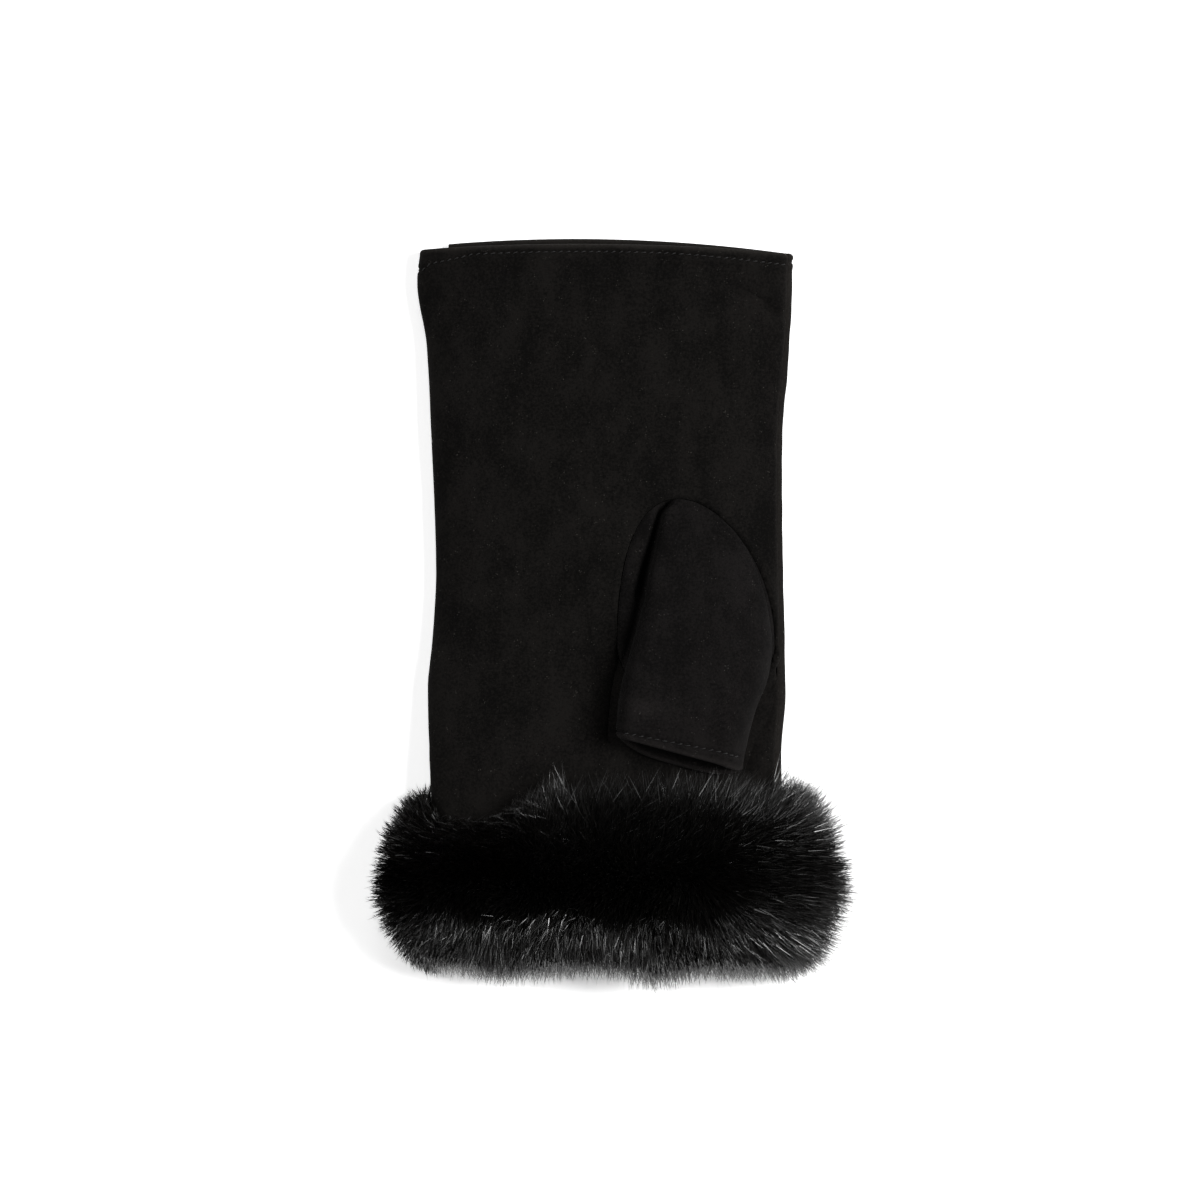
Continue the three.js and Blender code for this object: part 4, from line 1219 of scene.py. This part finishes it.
# %% Thread
def thread_finish():
    """Dark thread with the bands of its twist as bump and tone."""
    finish, tree, shader = new_finish("black_thread")
    place = add(tree, "ShaderNodeTexCoord")["Object"]
    turned = add(tree, "ShaderNodeMapping", {"Vector": place, "Rotation": (0.0, 0.0, 0.7)})
    twist = add(tree, "ShaderNodeTexWave", {
        "Vector": turned["Vector"], "Scale": 900.0, "Distortion": 1.0, "Detail": 1.0})["Fac"]
    relief = add(tree, "ShaderNodeBump", {"Strength": 0.4, "Distance": 0.0001, "Height": twist})
    feed(tree, shader, {
        "Base Color": mixed(tree, twist, (0.003, 0.003, 0.003), (0.010, 0.0095, 0.0095)),
        "Roughness": 0.6, "Normal": relief["Normal"]})
    shader.inputs["Specular IOR Level"].default_value = 0.25
    return finish


THREAD_FINISH = thread_finish()

# %% [markdown]
# A hair shines along its side and is black end on. The spikes are round enough for the
# Principled shader to give that by itself: a nearly black colour and a fairly sharp gloss.
# Tone and gloss differ from hair to hair, and roots are darker than tips.

# %% Hair
def hair_finish():
    """Near black, lighter towards the tip and from hair to hair, with a soft gloss."""
    finish, tree, shader = new_finish("black_fur")
    tone, depth, shine = (
        add(tree, "ShaderNodeAttribute", attribute_name=f"hair_{name}")["Fac"]
        for name in ("tone", "depth", "shine"))
    both = add(tree, "ShaderNodeMath", {0: tone, 1: depth}, operation="MULTIPLY")["Value"]
    gloss = add(tree, "ShaderNodeMapRange", {"Value": tone, "To Min": 0.30, "To Max": 0.42})
    level = add(tree, "ShaderNodeMapRange", {"Value": shine, "To Max": 0.85})
    feed(tree, shader, {
        "Base Color": mixed(tree, both, (0.0009, 0.0007, 0.0005), (0.0040, 0.0035, 0.0029)),
        "Roughness": gloss["Result"], "Specular IOR Level": level["Result"]})
    return finish


HAIR_FINISH = hair_finish()

# %% [markdown]
# ## Dressing the part
#
# Each piece takes its finish, rides on the part's only body and stands for its solid.
# Each is listed with a slot name of the imported record, which the code does not use.

# %% Ride, replace and finish
dress = [
    (palm, SUEDE, "suede", "palm_panel"),
    (back, SUEDE, "suede", "back_panel"),
    (thumb, THUMB_SUEDE, "suede", "thumb"),
    (stitches, THREAD_FINISH, "suede", None),
    (fur_band, BAND_CLOTH, "fur", "fur_cuff"),
]
dress += [(hair, HAIR_FINISH, "fur", "fur_cuff") for hair in hair_pieces]
total = 0
for piece, finish, slot, node in dress:
    piece.data.materials.clear()
    piece.data.materials.append(finish)
    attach(piece, "root")
    if node:
        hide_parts(node)
    total += len(piece.data.loops) - 2 * len(piece.data.polygons)
print(f"{len(dress)} pieces, {total} triangles")

# %% [markdown]
# ## Table, light and camera
#
# The mitten is photographed from straight above on white, in soft light that comes mostly
# from the right. Three large lamps give that, a pale world fills the shadows, and the table
# glows a little, as a light table does, so the shadows on it are faint. The lens is
# long, so the mitten shows no perspective, and the frame is 330 mm wide at the table.

# %% Table and lamps
WHITE = (1, 1, 1, 1)


def table():
    """A wide plain square just under the mitten, lit a little from below."""
    mesh = bpy.data.meshes.new("table")
    corners = [(x, y, -0.0001) for x, y in ((-3, -3), (3, -3), (3, 3), (-3, 3))]
    mesh.from_pydata(corners, [], [(0, 1, 2, 3)])
    finish, tree, shader = new_finish("white_table")
    feed(tree, shader, {
        "Base Color": (0.9, 0.9, 0.9, 1), "Roughness": 0.9,
        "Emission Color": WHITE, "Emission Strength": 0.4})
    mesh.materials.append(finish)
    add_object("table", mesh)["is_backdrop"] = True


def lamp(name, place, size, power):
    """A square area lamp that faces the mitten."""
    data = bpy.data.lights.new(name, "AREA")
    data.shape, data.size, data.energy = "SQUARE", size, power
    made = add_object(name, data)
    made.location = place
    made.rotation_euler = (-Vector(place)).to_track_quat("-Z", "Y").to_euler()


def studio():
    """A world that lights faintly and looks pale to the camera."""
    world = bpy.data.worlds.new("studio")
    world.use_nodes = True
    sky = world.node_tree
    fill = sky.nodes["Background"]
    feed(sky, fill, {"Color": WHITE, "Strength": 0.08})
    pale = add(sky, "ShaderNodeBackground", {"Color": WHITE, "Strength": 0.9})
    seen = add(sky, "ShaderNodeLightPath")["Is Camera Ray"]
    either = add(sky, "ShaderNodeMixShader", {
        "Fac": seen, 1: fill.outputs["Background"], 2: pale["Background"]})
    feed(sky, sky.nodes["World Output"], {"Surface": either["Shader"]})
    return world


table()
lamp("right_lamp", (1.45, 0.2, 1.3), 0.8, 67)
lamp("left_lamp", (-1.4, 0.2, 1.3), 0.8, 21)
lamp("far_lamp", (-0.2, 1.5, 1.5), 0.9, 9)
bpy.context.scene.world = studio()
bpy.context.scene.view_settings.view_transform = "Standard"

# %% Camera
VIEW_WIDTH, LENS, SENSOR = 0.330, 200.0, 36.0
camera_data = bpy.data.cameras.new("camera")
camera_data.lens, camera_data.sensor_width = LENS, SENSOR
camera = add_object("camera", camera_data)
camera.location = (-0.0022, 0.00275, LENS / SENSOR * VIEW_WIDTH + 0.010)
bpy.context.scene.camera = camera
print(f"camera {camera.location.z:.2f} m above the table")

# %% Print how far the pieces reach past the solids, and finish
worn_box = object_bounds()
grown = [[round((b - a) / MM, 2) for a, b in zip(u, v)] for u, v in zip(cad_box, worn_box)]
print("grown by, in mm:", grown)
